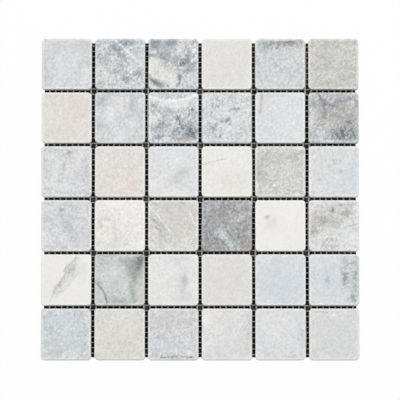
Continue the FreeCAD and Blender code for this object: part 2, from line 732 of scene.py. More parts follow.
# %% A cloud with a torn edge
FLAT = (1, 1, 0)
TEAR_NOISE = (4.5, 6.0, 0.75)
CRUMB_NOISE = (10.0, 4.0, 0.65)
CRUMB_SPREAD = 0.3
CRUMB_EDGE = (0.49, 0.58)

cloud_group, takes, gives = new_group(
    "marble_cloud",
    {
        "Vector": "Vector",
        "Seed": "Float",
        "Middle": "Vector",
        "Size": "Vector",
        "Turn": "Float",
        "Ragged": "Float",
        "Grain": "Float",
        "Soft": "Float",
        "Thin": "Float",
    },
    {"Amount": "Float"},
)
flat_place = reckon_vector(cloud_group, "MULTIPLY", takes["Vector"], FLAT)
offset = reckon_vector(cloud_group, "SUBTRACT", flat_place, takes["Middle"])
offset = turned(cloud_group, offset, takes["Turn"])
offset = reckon_vector(cloud_group, "DIVIDE", offset, takes["Size"])
inside = reckon(cloud_group, "SUBTRACT", 1.0, reckon_vector(cloud_group, "LENGTH", offset))
torn = noise_at(cloud_group, takes["Vector"], takes["Seed"], *TEAR_NOISE)
level = reckon(cloud_group, "ADD", inside, swing(cloud_group, torn, takes["Ragged"]))
body = smooth_step(cloud_group, level, 0.0, takes["Soft"])
loose = noise_at(cloud_group, takes["Vector"], takes["Seed"], *CRUMB_NOISE)
density = reckon(cloud_group, "MULTIPLY_ADD", level, CRUMB_SPREAD, -0.5 * CRUMB_SPREAD)
density = reckon(cloud_group, "SUBTRACT", density, takes["Thin"])
crumbs = smooth_step(cloud_group, reckon(cloud_group, "ADD", loose, density), *CRUMB_EDGE)
change = reckon(cloud_group, "SUBTRACT", crumbs, body)
mixed = reckon(cloud_group, "MULTIPLY_ADD", change, takes["Grain"], body)
cloud_group.links.new(mixed, gives["Amount"])
print("nodes in a cloud:", len(cloud_group.nodes))

# %% [markdown]
# A vein is a line between two points, bowed to one side. One noise makes it stray, a second
# tears its edge and a third breaks it up. It could be a curve that is laid on the tile, but a
# curve has no depth in the stone, and a group can be torn and broken like the rest.

# %% A vein between two points
WOBBLE_NOISE = (2.6, 6.0, 0.7)
BREAK_NOISE = (7.0, 4.0, 0.7)
HOLE_EDGE = (0.42, 0.6)
END_FADE = 0.09

vein_group, takes, gives = new_group(
    "marble_vein",
    {
        "Vector": "Vector",
        "Seed": "Float",
        "Start": "Vector",
        "Along": "Vector",
        "Sag": "Vector",
        "Width": "Float",
        "Wobble": "Float",
        "Ragged": "Float",
        "Broken": "Float",
    },
    {"Amount": "Float"},
)
swirl = noise_at(vein_group, takes["Vector"], takes["Seed"], *WOBBLE_NOISE, coloured=True)
swirl = reckon_vector(vein_group, "SUBTRACT", swirl, (NOISE_MIDDLE,) * 3)
swirl = scaled_vector(vein_group, swirl, takes["Wobble"])
strayed = reckon_vector(vein_group, "ADD", takes["Vector"], swirl)
strayed = reckon_vector(vein_group, "MULTIPLY", strayed, FLAT)
from_start = reckon_vector(vein_group, "SUBTRACT", strayed, takes["Start"])
reach = reckon_vector(vein_group, "DOT_PRODUCT", from_start, takes["Along"])
whole = reckon_vector(vein_group, "DOT_PRODUCT", takes["Along"], takes["Along"])
share = reckon(vein_group, "DIVIDE", reach, whole)
share = reckon(vein_group, "MINIMUM", reckon(vein_group, "MAXIMUM", share, 0.0), 1.0)
bow = reckon(vein_group, "MULTIPLY", share, reckon(vein_group, "SUBTRACT", 1.0, share))
straight = scaled_vector(vein_group, takes["Along"], share)
sagging = scaled_vector(vein_group, takes["Sag"], bow)
nearest = reckon_vector(vein_group, "ADD", straight, sagging)
gap = reckon_vector(vein_group, "DISTANCE", from_start, nearest)
patchy = noise_at(vein_group, takes["Vector"], takes["Seed"], *BREAK_NOISE)
holes = smooth_step(vein_group, patchy, *HOLE_EDGE)
loose = noise_at(vein_group, takes["Vector"], takes["Seed"], *CRUMB_NOISE)
tear = swing(vein_group, loose, takes["Ragged"])
level = reckon(vein_group, "SUBTRACT", tear, reckon(vein_group, "DIVIDE", gap, takes["Width"]))
body = smooth_step(vein_group, level, -1.0, 0.0)
faded = reckon(vein_group, "MULTIPLY", body, smooth_step(vein_group, bow, 0.0, END_FADE))
lost = reckon(vein_group, "MULTIPLY", holes, takes["Broken"])
drawn = reckon(vein_group, "MULTIPLY", faded, reckon(vein_group, "SUBTRACT", 1.0, lost))
vein_group.links.new(drawn, gives["Amount"])
print("nodes in a vein:", len(vein_group.nodes))

# %% [markdown]
# ## How a tile's figure is written down
#
# No two tiles are alike, so each has a short recipe: a ground, and then the clouds and veins
# that lie on it, from the large ones to the small. A place is given in half tiles from the
# middle, first to the right and then up, so that (1, 1) is the top right corner. The tones
# have names, as a mason would speak of them, and most of them come back on many tiles.

# %% The tones of this marble
TONES = {
    "snow": seen(241, 240, 237),
    "chalk": seen(233, 232, 228),
    "bone": seen(226, 224, 219),
    "cream": seen(223, 217, 208),
    "pearl": seen(226, 227, 228),
    "mist": seen(214, 216, 218),
    "ice": seen(210, 217, 223),
    "frost": seen(225, 231, 236),
    "dove": seen(207, 206, 202),
    "ash": seen(196, 199, 200),
    "fog": seen(176, 181, 184),
    "stone": seen(139, 141, 143),
    "slate": seen(140, 146, 151),
    "iron": seen(94, 101, 108),
    "dew": seen(213, 219, 215),
    "sage": seen(160, 169, 163),
    "moss": seen(120, 127, 121),
    "plum": seen(142, 140, 146),
    "taupe": seen(176, 170, 163),
    "umber": seen(132, 122, 112),
    "straw": seen(229, 221, 200),
    "rust": seen(226, 203, 180),
    "blush": seen(240, 222, 209),
}
BRUISE = seen(250, 250, 248)
print("tones:", len(TONES))

# %% [markdown]
# A cloud or a vein is written in a recipe as one short line. Each line could add its nodes at
# once, but then a recipe would have to carry the tile's node tree about. It only describes
# the feature, and the tile draws it later.

# %% Words for a recipe
BOW_AT_MIDDLE = 0.25


def cloud(tone, middle, size, amount, turn=0, ragged=2.6, grain=0.3, soft=0.6, thin=0.0):
    """Describe a patch: its half sizes and turn, and how torn, crumbly, soft and thin it is."""
    return {
        "group": cloud_group,
        "tone": tone,
        "amount": amount,
        "sockets": {
            "Middle": (*middle, 0),
            "Size": (*size, 1),
            "Turn": math.radians(-turn),
            "Ragged": ragged,
            "Grain": grain,
            "Soft": soft,
            "Thin": thin,
        },
    }


def vein(tone, start, end, width, amount, sag=0.0, wobble=0.5, ragged=1.5, broken=0.6):
    """Describe a line from one place to another, bowed to its left by sag."""
    along = Vector((*end, 0)) - Vector((*start, 0))
    across = Vector((-along.y, along.x, 0)).normalized()
    return {
        "group": vein_group,
        "tone": tone,
        "amount": amount,
        "sockets": {
            "Start": (*start, 0),
            "Along": along,
            "Sag": across * sag / BOW_AT_MIDDLE,
            "Width": width,
            "Wobble": wobble,
            "Ragged": ragged,
            "Broken": broken,
        },
    }


print("a cloud's values:", list(cloud("mist", (0, 0), (1, 1), 1.0)["sockets"]))

# %% [markdown]
# The ground comes first, then the figure, then the pale crystals that sparkle over both. The
# fine noise that speckles the ground also darkens and lightens the figure, roughens the face
# and raises it a little, as pits and crystals do together on a real tile: the darkening is
# partly the stone's own grain and partly painted shade in the pits. The rim is bruised last.

# %% From a recipe to a material
BED_TURN = 62
FEATURE_STEP = 3.7
BRUISE_AMOUNT = 0.42
STONE_ROUGHNESS = (0.58, 0.78)
STONE_SHINE = 0.3
BUMP_DEPTH = 0.1 * MM
BUMP_STRENGTH = 0.5


def object_place(tree):
    return tree.nodes.new("ShaderNodeTexCoord").outputs["Object"]


def place_on_tile(tree, node):
    """Return a place on a tile, in half tiles from its middle."""
    middle, half = box_middle_and_half(node)
    mapping = tree.nodes.new("ShaderNodeMapping")
    mapping.inputs["Location"].default_value = (-middle.x / half.x, -middle.y / half.x, 0)
    mapping.inputs["Scale"].default_value = (1 / half.x, 1 / half.x, 1 / half.x)
    tree.links.new(object_place(tree), mapping.inputs["Vector"])
    return mapping.outputs["Vector"]


def draw_figure(tree, colour, place, seed, figure):
    """Lay a recipe's clouds and veins on a colour, one after another."""
    for number, feature in enumerate(figure):
        where = seed + FEATURE_STEP * number
        shown = use_group(tree, feature["group"], Vector=place, Seed=where, **feature["sockets"])
        amount = reckon(tree, "MULTIPLY", shown["Amount"], feature["amount"])
        colour = blend_colours(tree, amount, colour, TONES[feature["tone"]])
    return colour


def add_bump(tree, shader, height, depth, strength=1.0):
    """Let a socket's value seem to raise the surface, by up to a depth."""
    bump = tree.nodes.new("ShaderNodeBump")
    bump.inputs["Distance"].default_value = depth
    bump.inputs["Strength"].default_value = strength
    tree.links.new(height, bump.inputs["Height"])
    tree.links.new(bump.outputs["Normal"], shader.inputs["Normal"])


def marble(
    row, column, pale, deep, mottle=1.0, speckle=0.45, speck_tone_and_pit_shade=0.5, bed=BED_TURN, figure=(), **extras
):
    """Give a tile its stone: a ground between two tones, and the clouds and veins on it.

    The extras are pepper and hair for the ground, crystal, which lies over the figure, and
    wear, a share of the usual bruising round the face.
    """
    material, tree, shader = new_material(f"marble_r{row}_c{column}")
    seed = row * 10.0 + column
    place = place_on_tile(tree, tile_name(row, column))
    stone = use_group(
        tree,
        ground,
        Vector=place,
        Seed=seed,
        Bed=math.radians(-bed),
        Pale=TONES[pale],
        Deep=TONES[deep],
        Mottle=mottle,
        Speckle=speckle,
        Pepper=extras.get("pepper", 0.0),
        Hair=extras.get("hair", 0.0),
    )
    colour = draw_figure(tree, stone["Color"], place, seed, figure)
    sparkle = reckon(tree, "MULTIPLY", stone["Crystal"], extras.get("crystal", 0.0))
    colour = blend_colours(tree, sparkle, colour, TONES["frost"])
    # Partly the stone's own grain and partly painted shade: darker where the bump lowers the face.
    grain = reckon(tree, "ADD", swing(tree, stone["Speck"], speck_tone_and_pit_shade), 1.0)
    colour = scaled_vector(tree, colour, grain)

    edge = tree.nodes.new("ShaderNodeAttribute")
    edge.attribute_name = "edge_wear"
    bruised = reckon(
        tree, "MULTIPLY", edge.outputs["Fac"], BRUISE_AMOUNT * extras.get("wear", 1.0)
    )
    colour = blend_colours(tree, bruised, colour, BRUISE)
    tree.links.new(colour, shader.inputs["Base Color"])
    tree.links.new(between(tree, stone["Speck"], *STONE_ROUGHNESS), shader.inputs["Roughness"])
    shader.inputs["Specular IOR Level"].default_value = STONE_SHINE
    add_bump(tree, shader, stone["Speck"], BUMP_DEPTH, BUMP_STRENGTH)
    tiles[row, column].data.materials.append(material)


def count_finished():
    """Return how many tiles have their stone."""
    return sum(1 for tile in tiles.values() if tile.data.materials)


print("tiles with their stone so far:", count_finished())

# %% [markdown]
# ## The figure of each tile
#
# The sheet mixes plain and figured tiles. The first row, from left to right: a plain cool
# grey, a grey one with a white vein across it, a strongly clouded one with a cream patch, a
# plain warm white, a cool one with brown and grey along its top, and a plain warm grey.

# %% The first row
marble(1, 1, "pearl", "ash", 0.8, 0.32, figure=[
    cloud("ash", (0.6, 0.75), (0.6, 0.4), 0.55),
    cloud("ash", (-0.9, -0.1), (0.3, 1.2), 0.55, soft=1.0),
    vein("pearl", (-0.2, 0.8), (-0.35, -1.1), 0.2, 0.6, wobble=0.3, broken=0.3),
])
marble(1, 2, "mist", "fog", 1.0, 0.8, 0.7, pepper=0.9, hair=0.25, crystal=0.45, wear=0.8, figure=[
    cloud("bone", (-0.6, -0.5), (0.55, 0.6), 0.45, grain=0.4, soft=1.0),
    cloud("fog", (-0.6, 0.2), (0.3, 0.3), 0.7, grain=0.5),
    cloud("slate", (-0.14, 0.75), (0.34, 0.3), 1.0, grain=0.5),
    cloud("moss", (-0.1, 0.6), (0.2, 0.16), 0.6, grain=0.7),
    cloud("slate", (0.0, 0.75), (0.45, 0.4), 0.45, grain=0.6, soft=1.2),
    cloud("slate", (0.3, 0.85), (0.35, 0.24), 1.0, grain=0.3),
    cloud("slate", (0.05, 0.4), (0.35, 0.2), 0.6, turn=-40, grain=0.8),
    cloud("slate", (0.19, -0.6), (0.26, 0.22), 0.9, grain=0.7),
    cloud("slate", (0.75, -0.38), (0.3, 0.2), 0.8, grain=0.8),
    cloud("ash", (0.7, 0.4), (0.4, 0.55), 0.8, grain=0.25, soft=0.8),
    cloud("mist", (0.75, 0.2), (0.35, 0.4), 0.5, grain=0.15, soft=1.0),
    vein("mist", (-0.3, 1.05), (1.1, -0.27), 0.16, 0.5, wobble=0.15, ragged=4.0, broken=0.4),
    vein("snow", (-0.3, 1.05), (1.1, -0.27), 0.06, 0.8, wobble=0.15, ragged=3.0, broken=0.7),
])
marble(1, 3, "mist", "fog", 1.4, 1.0, 0.8, pepper=0.6, crystal=0.25, wear=0.7, figure=[
    cloud("fog", (-0.3, 0.7), (0.6, 0.4), 0.9, grain=0.4),
    cloud("slate", (-0.78, 0.8), (0.38, 0.3), 1.0, grain=0.2),
    cloud("slate", (-0.1, 0.85), (0.45, 0.24), 0.9, grain=0.5),
    cloud("slate", (0.05, 0.15), (0.5, 0.4), 0.45, grain=0.6, soft=1.2),
    cloud("sage", (-0.25, 0.3), (0.4, 0.3), 0.9, grain=0.5),
    cloud("moss", (-0.9, 0.35), (0.25, 0.12), 0.9, grain=0.4),
    cloud("slate", (0.2, 0.2), (0.3, 0.3), 0.8, grain=0.8),
    cloud("iron", (0.4, 0.03), (0.34, 0.22), 0.8, turn=20, grain=0.8, soft=1.0),
    cloud("slate", (0.6, 0.3), (0.2, 0.35), 0.8, grain=0.7),
    cloud("slate", (0.5, -0.25), (0.25, 0.2), 0.7, grain=0.8),
    cloud("bone", (0.28, 0.6), (0.3, 0.75), 0.75, turn=-5, ragged=1.6, grain=0.4, soft=1.2),
    cloud("slate", (-0.66, -0.78), (0.6, 0.2), 1.0, turn=-32, ragged=1.2, grain=0.1, soft=0.9),
    cloud("moss", (-0.75, -0.74), (0.35, 0.08), 0.8, turn=-32, ragged=0.8, grain=0.1),
    cloud("mist", (-0.75, -0.97), (0.4, 0.1), 0.8, turn=-20, ragged=0.8),
    cloud("moss", (0.2, -0.68), (0.15, 0.4), 1.0, turn=-14, ragged=0.8, grain=0.1),
    cloud("bone", (-0.8, -0.05), (0.34, 0.42), 1.0, ragged=1.6, grain=0.1, soft=0.4),
    cloud("bone", (-0.42, -0.42), (0.52, 0.32), 1.0, turn=-35, ragged=1.4, grain=0.1, soft=0.4),
    cloud("bone", (-0.05, -0.62), (0.3, 0.42), 1.0, turn=15, ragged=1.4, grain=0.1, soft=0.4),
    cloud("mist", (-0.4, -0.35), (0.9, 0.5), 0.5, turn=-35, grain=0.3, soft=1.0),
    cloud("dove", (-0.1, -0.25), (0.6, 0.25), 0.65, turn=-30, grain=0.7, soft=1.0),
    cloud("dove", (-0.65, -0.3), (0.4, 0.14), 0.55, turn=-30, grain=0.5, soft=1.0),
    cloud("mist", (0.75, -0.65), (0.35, 0.4), 0.9, grain=0.3),
])
marble(1, 4, "bone", "bone", 0.9, 0.4, figure=[
    cloud("mist", (0.0, 0.0), (1.5, 1.5), 0.3, grain=0.1),
])
marble(1, 5, "mist", "ash", 0.7, 0.75, 0.6, figure=[
    cloud("ash", (-0.1, 0.85), (1.1, 0.4), 0.65, grain=0.4),
    cloud("taupe", (0.6, 0.85), (0.7, 0.4), 0.6, grain=0.4, soft=1.0),
    cloud("cream", (0.7, 0.5), (0.4, 0.25), 0.5, grain=0.5, soft=1.0),
    cloud("slate", (-0.3, 0.8), (1.3, 0.6), 0.75, grain=1.0, thin=0.07),
    cloud("slate", (-0.6, 0.7), (0.4, 0.35), 0.45, grain=0.9, thin=0.03),
    cloud("umber", (0.5, 0.85), (0.7, 0.35), 0.6, grain=1.0, thin=0.03),
    cloud("taupe", (-0.95, 0.3), (0.1, 0.5), 0.6, grain=0.4),
    cloud("dew", (0.0, -0.7), (1.0, 0.4), 0.4, soft=1.2),
    vein("umber", (-0.1, 0.84), (0.7, 0.9), 0.08, 0.9, wobble=0.4, ragged=3.0, broken=0.5),
])
marble(1, 6, "bone", "taupe", 0.5, 0.46, 0.6, bed=40, pepper=0.15, figure=[
    cloud("ash", (0.0, 0.0), (1.6, 1.6), 0.5, grain=0.2),
    cloud("taupe", (-0.5, -0.8), (1.0, 0.5), 0.25, grain=0.2, soft=1.2),
    cloud("bone", (0.7, 0.1), (0.5, 0.4), 0.3, grain=0.2, soft=1.2),
])
print("tiles with their stone so far:", count_finished())

# %% [markdown]
# The second row has a cream tile, a soft blue-grey one, one with a pale arc over a dark
# speckled half, one with grey blotches all over, a nearly plain one and a dark purplish one.

# %% The second row
marble(2, 1, "bone", "cream", 1.2, 0.6, figure=[
    cloud("bone", (-0.7, -0.2), (0.6, 0.9), 0.8, soft=1.0),
    cloud("cream", (0.4, 0.4), (0.7, 0.8), 0.8, soft=1.0),
    cloud("sage", (-0.6, -0.6), (0.9, 0.9), 0.06, grain=0.1, soft=1.4),
    cloud("taupe", (-0.2, 0.7), (1.4, 0.8), 0.14, grain=0.1, soft=1.4),
])
marble(2, 2, "pearl", "ash", 1.0, 0.4, figure=[
    cloud("fog", (-0.75, 0.62), (0.42, 0.5), 0.85, grain=0.2, soft=1.0),
    cloud("fog", (-0.85, -0.3), (0.25, 0.3), 0.4),
    cloud("fog", (0.5, 0.5), (0.24, 0.6), 0.8, grain=0.2, soft=1.0),
    cloud("ash", (0.8, 0.0), (0.3, 0.6), 0.8, soft=1.0),
    cloud("ash", (-0.2, 0.95), (0.6, 0.12), 0.6),
    cloud("bone", (0.05, 0.5), (0.16, 0.5), 0.9, turn=16, soft=0.8),
    cloud("frost", (-0.35, 0.1), (0.25, 0.5), 0.6),
    cloud("frost", (0.0, -0.6), (0.8, 0.4), 0.5, soft=1.0),
    vein("chalk", (-0.13, 0.5), (0.3, -0.2), 0.09, 0.8, wobble=0.2, ragged=3.0, broken=0.5),
    vein("umber", (-0.75, 0.97), (-0.25, 0.93), 0.07, 0.5, ragged=3.0),
])
marble(2, 3, "pearl", "fog", 1.3, 0.6, 0.6, pepper=0.4, hair=0.2, crystal=0.4, wear=0.8, figure=[
    cloud("ash", (0.0, 0.95), (0.95, 0.24), 0.6, ragged=0.8, grain=0.5),
    cloud("pearl", (0.0, 0.5), (0.7, 0.26), 0.95, ragged=1.4, grain=0.2),
    cloud("sage", (-0.5, -0.55), (0.6, 0.4), 0.35, grain=0.4, soft=1.2),
    cloud("slate", (-0.4, -0.22), (0.36, 0.22), 0.8, grain=0.6),
    cloud("slate", (0.1, -0.75), (0.45, 0.4), 0.8, grain=0.6, soft=1.2),
    cloud("slate", (0.2, -0.1), (0.42, 0.28), 0.6, grain=0.8),
    cloud("slate", (0.5, -0.3), (0.4, 0.4), 0.7, turn=30, grain=0.8),
    cloud("slate", (0.75, -0.6), (0.65, 0.55), 0.85, grain=0.4, soft=1.0),
    cloud("iron", (0.7, -0.62), (0.62, 0.42), 0.8, turn=12, grain=0.65, soft=1.0),
    cloud("iron", (0.2, -0.35), (0.25, 0.3), 0.7, grain=1.0, thin=0.02),
    cloud("slate", (-0.58, -0.78), (0.3, 0.16), 0.9, grain=0.5),
    cloud("pearl", (-0.86, 0.0), (0.1, 0.5), 0.7, turn=25),
    cloud("taupe", (0.4, -0.86), (0.5, 0.14), 0.8),
    cloud("iron", (0.75, 0.31), (0.08, 0.08), 1.0, ragged=0.8, grain=0.0),
    vein("iron", (0.05, -0.1), (0.5, 0.3), 0.05, 0.9, wobble=0.4),
    vein("iron", (0.1, 0.15), (0.4, -0.5), 0.05, 0.9, wobble=0.4),
    vein("pearl", (-1.1, 0.9), (1.05, 0.95), 0.2, 0.7, sag=-0.36, wobble=0.2, ragged=3.0, broken=0.3),
    vein("snow", (-1.15, 0.95), (1.1, 1.02), 0.11, 1.0, sag=-0.31, wobble=0.1, ragged=2.6, broken=0.3),
])
marble(2, 4, "pearl", "ash", 0.6, 0.6, 0.5, pepper=0.9, crystal=0.3, figure=[
    cloud("pearl", (0.2, 0.0), (0.9, 0.9), 0.4),
    cloud("slate", (0.05, -0.1), (0.18, 0.22), 1.0, grain=0.5, soft=1.0),
    cloud("slate", (-0.18, -0.14), (0.15, 0.1), 0.7, grain=0.6, soft=1.0),
    cloud("slate", (-0.34, 0.45), (0.5, 0.22), 0.8, grain=1.0, thin=0.05),
    cloud("slate", (0.35, 0.36), (0.4, 0.2), 0.8, grain=1.0, thin=0.03),
    cloud("slate", (-0.5, -0.45), (0.75, 0.7), 0.7, grain=1.0, thin=0.09),
    cloud("fog", (0.65, -0.45), (0.45, 0.6), 0.6, grain=1.0, thin=0.08),
    cloud("pearl", (0.8, 0.0), (0.4, 1.3), 0.3, grain=0.3, soft=1.2),
])
marble(2, 5, "pearl", "mist", 1.0, 0.4, figure=[
    cloud("pearl", (0.3, -0.4), (0.6, 0.5), 0.4),
    cloud("dove", (-0.6, 0.8), (0.7, 0.5), 0.6, grain=0.3, soft=1.2),
    cloud("bone", (-0.82, 0.45), (0.14, 0.4), 0.5),
    cloud("dove", (-0.1, 0.95), (0.9, 0.14), 0.7),
    vein("taupe", (-0.76, 1.1), (-0.88, 0.0), 0.12, 0.35, sag=0.05, wobble=0.15, broken=0.3),
    vein("umber", (-0.74, 1.1), (-0.84, 0.1), 0.04, 0.35, sag=0.05, wobble=0.1, broken=0.5),
])
marble(2, 6, "dove", "fog", 1.2, 1.0, 0.7, pepper=0.85, crystal=0.25, wear=0.6, figure=[
    cloud("taupe", (0.2, 0.1), (1.1, 0.8), 0.6, grain=0.3),
    cloud("plum", (-0.5, 0.6), (0.35, 0.35), 0.6, grain=0.5, soft=1.0),
    cloud("plum", (0.0, 0.45), (0.5, 0.24), 0.65, grain=0.4, soft=1.0),
    cloud("plum", (0.5, 0.75), (0.5, 0.25), 0.55, grain=0.6, soft=1.0),
    cloud("plum", (-0.35, 0.1), (0.22, 0.3), 0.6, grain=0.5, soft=1.0),
    vein("plum", (-0.66, 1.1), (-0.3, 0.4), 0.1, 1.2, wobble=0.4, ragged=3.0, broken=0.3),
    vein("iron", (-0.5, 0.5), (0.1, 0.55), 0.07, 0.6, wobble=0.6, ragged=3.0, broken=0.4),
    vein("plum", (-0.38, 0.6), (-0.35, -0.1), 0.09, 1.1, wobble=0.4, ragged=3.0, broken=0.4),
    vein("plum", (0.0, 0.6), (0.8, 0.75), 0.09, 1.1, wobble=0.8, ragged=3.0, broken=0.4),
    vein("plum", (0.05, 1.0), (0.25, 0.5), 0.06, 0.8, sag=0.1, wobble=0.6, ragged=3.0, broken=0.5),
    cloud("plum", (0.92, 0.55), (0.12, 0.3), 0.7),
    cloud("bone", (-0.85, -0.1), (0.2, 0.5), 0.4, grain=0.4),
    cloud("plum", (0.1, 0.1), (0.4, 0.2), 0.45, grain=0.6, soft=1.0),
    cloud("iron", (0.6, -0.2), (0.4, 0.25), 0.7, grain=1.0, thin=0.05),
    cloud("slate", (0.45, -0.62), (0.95, 0.45), 0.85, grain=0.4, soft=0.9),
    cloud("iron", (0.42, -0.66), (0.9, 0.36), 0.85, grain=0.65, soft=0.9),
    cloud("frost", (0.4, -0.7), (0.8, 0.45), 0.65, grain=1.0, thin=0.11),
    cloud("ice", (-0.5, -0.66), (0.28, 0.45), 0.4, ragged=3.0, grain=0.6, soft=1.0),
    cloud("frost", (-0.5, -0.66), (0.35, 0.5), 0.6, ragged=3.0, grain=1.0, thin=0.06),
    cloud("frost", (0.1, -0.97), (0.8, 0.07), 0.6, grain=0.4),
])
print("tiles with their stone so far:", count_finished())

# %% [markdown]
# The third row is the quietest: light greys and creams with a few small marks, and a warm
# grey with a greenish side in the fifth place.

# %% The third row
marble(3, 1, "pearl", "ash", 1.1, 0.6, bed=75, figure=[
    cloud("pearl", (0.0, 0.0), (1.4, 1.4), 0.35),
    cloud("bone", (0.5, 0.55), (0.7, 0.25), 0.7, turn=70),
    cloud("chalk", (-0.45, -0.1), (1.0, 0.16), 0.6, turn=76, soft=1.0),
    cloud("ash", (0.8, -0.2), (0.8, 0.22), 0.7, turn=100, soft=1.0),
    cloud("fog", (0.08, 0.72), (0.26, 0.22), 0.45, grain=0.5, soft=1.0),
    cloud("umber", (0.1, 0.78), (0.2, 0.17), 0.6, grain=0.9, soft=1.0),
    cloud("fog", (-0.08, 0.25), (0.12, 0.35), 0.7, turn=-15, soft=1.0),
    cloud("pearl", (-0.6, 0.5), (0.4, 0.6), 0.5, grain=0.2, soft=1.2),
    cloud("fog", (-0.87, 0.3), (0.1, 0.7), 0.3, grain=0.5, soft=1.0),
    cloud("pearl", (-0.1, -0.6), (0.5, 0.3), 0.6),
])
marble(3, 2, "bone", "cream", 0.8, 0.8, bed=88, figure=[
    cloud("mist", (-0.3, 0.4), (1.3, 1.2), 0.15, grain=0.1, soft=1.2),
    cloud("blush", (0.0, -0.5), (0.9, 0.5), 0.2, soft=1.2),
])
marble(3, 3, "pearl", "mist", 0.8, 0.4, figure=[
    cloud("pearl", (-0.3, 0.6), (0.8, 0.5), 0.6),
    cloud("chalk", (-0.7, -0.6), (0.8, 0.5), 0.8, turn=28, grain=0.1, soft=1.2),
    cloud("dove", (0.3, -0.1), (0.9, 0.36), 0.6, turn=28, soft=1.2),
    cloud("sage", (0.35, -0.05), (0.5, 0.24), 0.25, turn=28, grain=0.4, soft=1.2),
    cloud("taupe", (0.1, -0.4), (0.35, 0.2), 0.3, turn=20, grain=0.5, soft=1.2),
    cloud("snow", (0.1, 0.45), (0.9, 0.1), 0.6, turn=30, soft=1.0),
    cloud("snow", (0.2, -0.85), (0.8, 0.25), 0.5, soft=1.0),
    vein("snow", (-0.9, -0.5), (0.1, 0.1), 0.08, 0.5, wobble=0.3, ragged=2.5),
])
marble(3, 4, "chalk", "chalk", 0.6, 0.4, figure=[
    cloud("bone", (0.3, -0.4), (0.8, 0.5), 0.5),
    vein("ash", (-1.05, 0.22), (0.05, 0.52), 0.045, 0.8, sag=0.04, wobble=0.15, broken=0.6),
    cloud("dove", (0.35, 0.9), (0.06, 0.08), 0.6),
])
marble(3, 5, "bone", "ash", 0.7, 0.75, 0.7, pepper=0.8, hair=0.14, figure=[
    cloud("dove", (0.0, 0.1), (1.5, 1.5), 0.5),
    cloud("sage", (0.0, 0.3), (1.4, 1.0), 0.14, grain=0.4),
    cloud("sage", (-0.6, 0.5), (0.5, 0.5), 0.3, grain=0.6),
    cloud("stone", (0.65, 0.6), (0.4, 0.35), 0.25, grain=0.6),
    cloud("sage", (-0.75, -0.1), (0.35, 0.9), 0.45, soft=1.2),
    cloud("moss", (-0.9, -0.1), (0.14, 0.6), 0.3, grain=0.4, soft=1.2),
    cloud("bone", (0.3, 0.0), (0.4, 0.7), 0.5, grain=0.6, soft=1.0),
    cloud("snow", (-0.23, -0.54), (0.1, 0.07), 1.1, ragged=0.8),
])
marble(3, 6, "pearl", "mist", 1.0, 0.7, figure=[
    cloud("fog", (0.0, 0.0), (1.8, 1.8), 0.06, grain=0.1),
    cloud("fog", (0.95, 0.2), (0.25, 1.1), 0.55, soft=1.0),
    cloud("ice", (0.85, -0.2), (0.3, 0.9), 0.9),
    cloud("mist", (0.0, 0.0), (1.3, 1.3), 0.5),
    cloud("bone", (-0.3, 0.1), (0.9, 0.9), 0.35, soft=1.2),
    cloud("fog", (-0.18, 0.2), (0.18, 0.17), 0.7, grain=0.5, soft=1.0),
    cloud("fog", (0.3, 0.0), (0.14, 0.13), 0.8, grain=0.3, soft=1.0),
    cloud("fog", (-0.57, -0.32), (0.12, 0.1), 0.8, grain=0.3, soft=1.0),
    cloud("fog", (0.1, 0.45), (0.5, 0.3), 0.5, grain=1.0, thin=0.08),
])
print("tiles with their stone so far:", count_finished())

# %% [markdown]
# The fourth row has the darkest tile of the sheet, a mid grey with bluish streaks that meet at
# its lower middle. The second and the fifth tile are nearly white, each with one soft mark,
# the third has thin pale scratches, and brown clouds cross the upper left of the last.

# %% The fourth row
marble(4, 1, "pearl", "ash", 0.6, 0.5, bed=120, figure=[
    cloud("mist", (0.0, 0.0), (1.5, 1.5), 0.2, grain=0.1),
    cloud("pearl", (-0.7, -0.4), (0.5, 0.8), 0.5, soft=1.0),
    cloud("bone", (0.7, 0.6), (0.5, 0.5), 0.5, soft=1.0),
    cloud("fog", (0.1, -0.1), (1.2, 0.34), 0.4, turn=-62, ragged=2.0, soft=1.4),
    cloud("sage", (0.3, -0.5), (0.8, 0.3), 0.1, turn=-62, soft=1.4),
    cloud("pearl", (0.7, -0.7), (0.5, 0.5), 0.5, grain=0.1, soft=1.2),
    cloud("slate", (-0.17, 0.6), (0.24, 0.14), 0.7, grain=0.6, soft=1.0),
])
marble(4, 2, "snow", "bone", 0.7, 0.4, figure=[
    cloud("bone", (-0.2, -0.4), (1.1, 0.8), 0.5, grain=0.2, soft=1.2),
    cloud("dove", (-0.3, -0.75), (0.8, 0.45), 0.5, grain=0.4, soft=1.2),
    cloud("snow", (0.1, 0.8), (1.2, 0.5), 0.5, grain=0.1, soft=1.2),
    cloud("ash", (-0.5, 0.26), (0.4, 0.22), 0.6, grain=0.6, soft=1.2),
    cloud("dove", (-0.75, 0.0), (0.2, 0.45), 0.8, grain=0.5, soft=1.2),
    cloud("taupe", (-0.2, -0.15), (0.18, 0.35), 0.3, grain=0.6, soft=1.2),
    cloud("blush", (-0.43, -0.16), (0.32, 0.18), 0.85, turn=-15, soft=0.9),
    cloud("taupe", (0.25, -0.76), (0.25, 0.16), 0.45, grain=0.6, soft=1.2),
    cloud("dove", (-0.8, -0.7), (0.3, 0.25), 0.6, soft=1.0),
    cloud("straw", (0.4, 0.85), (0.1, 0.1), 0.6),
])
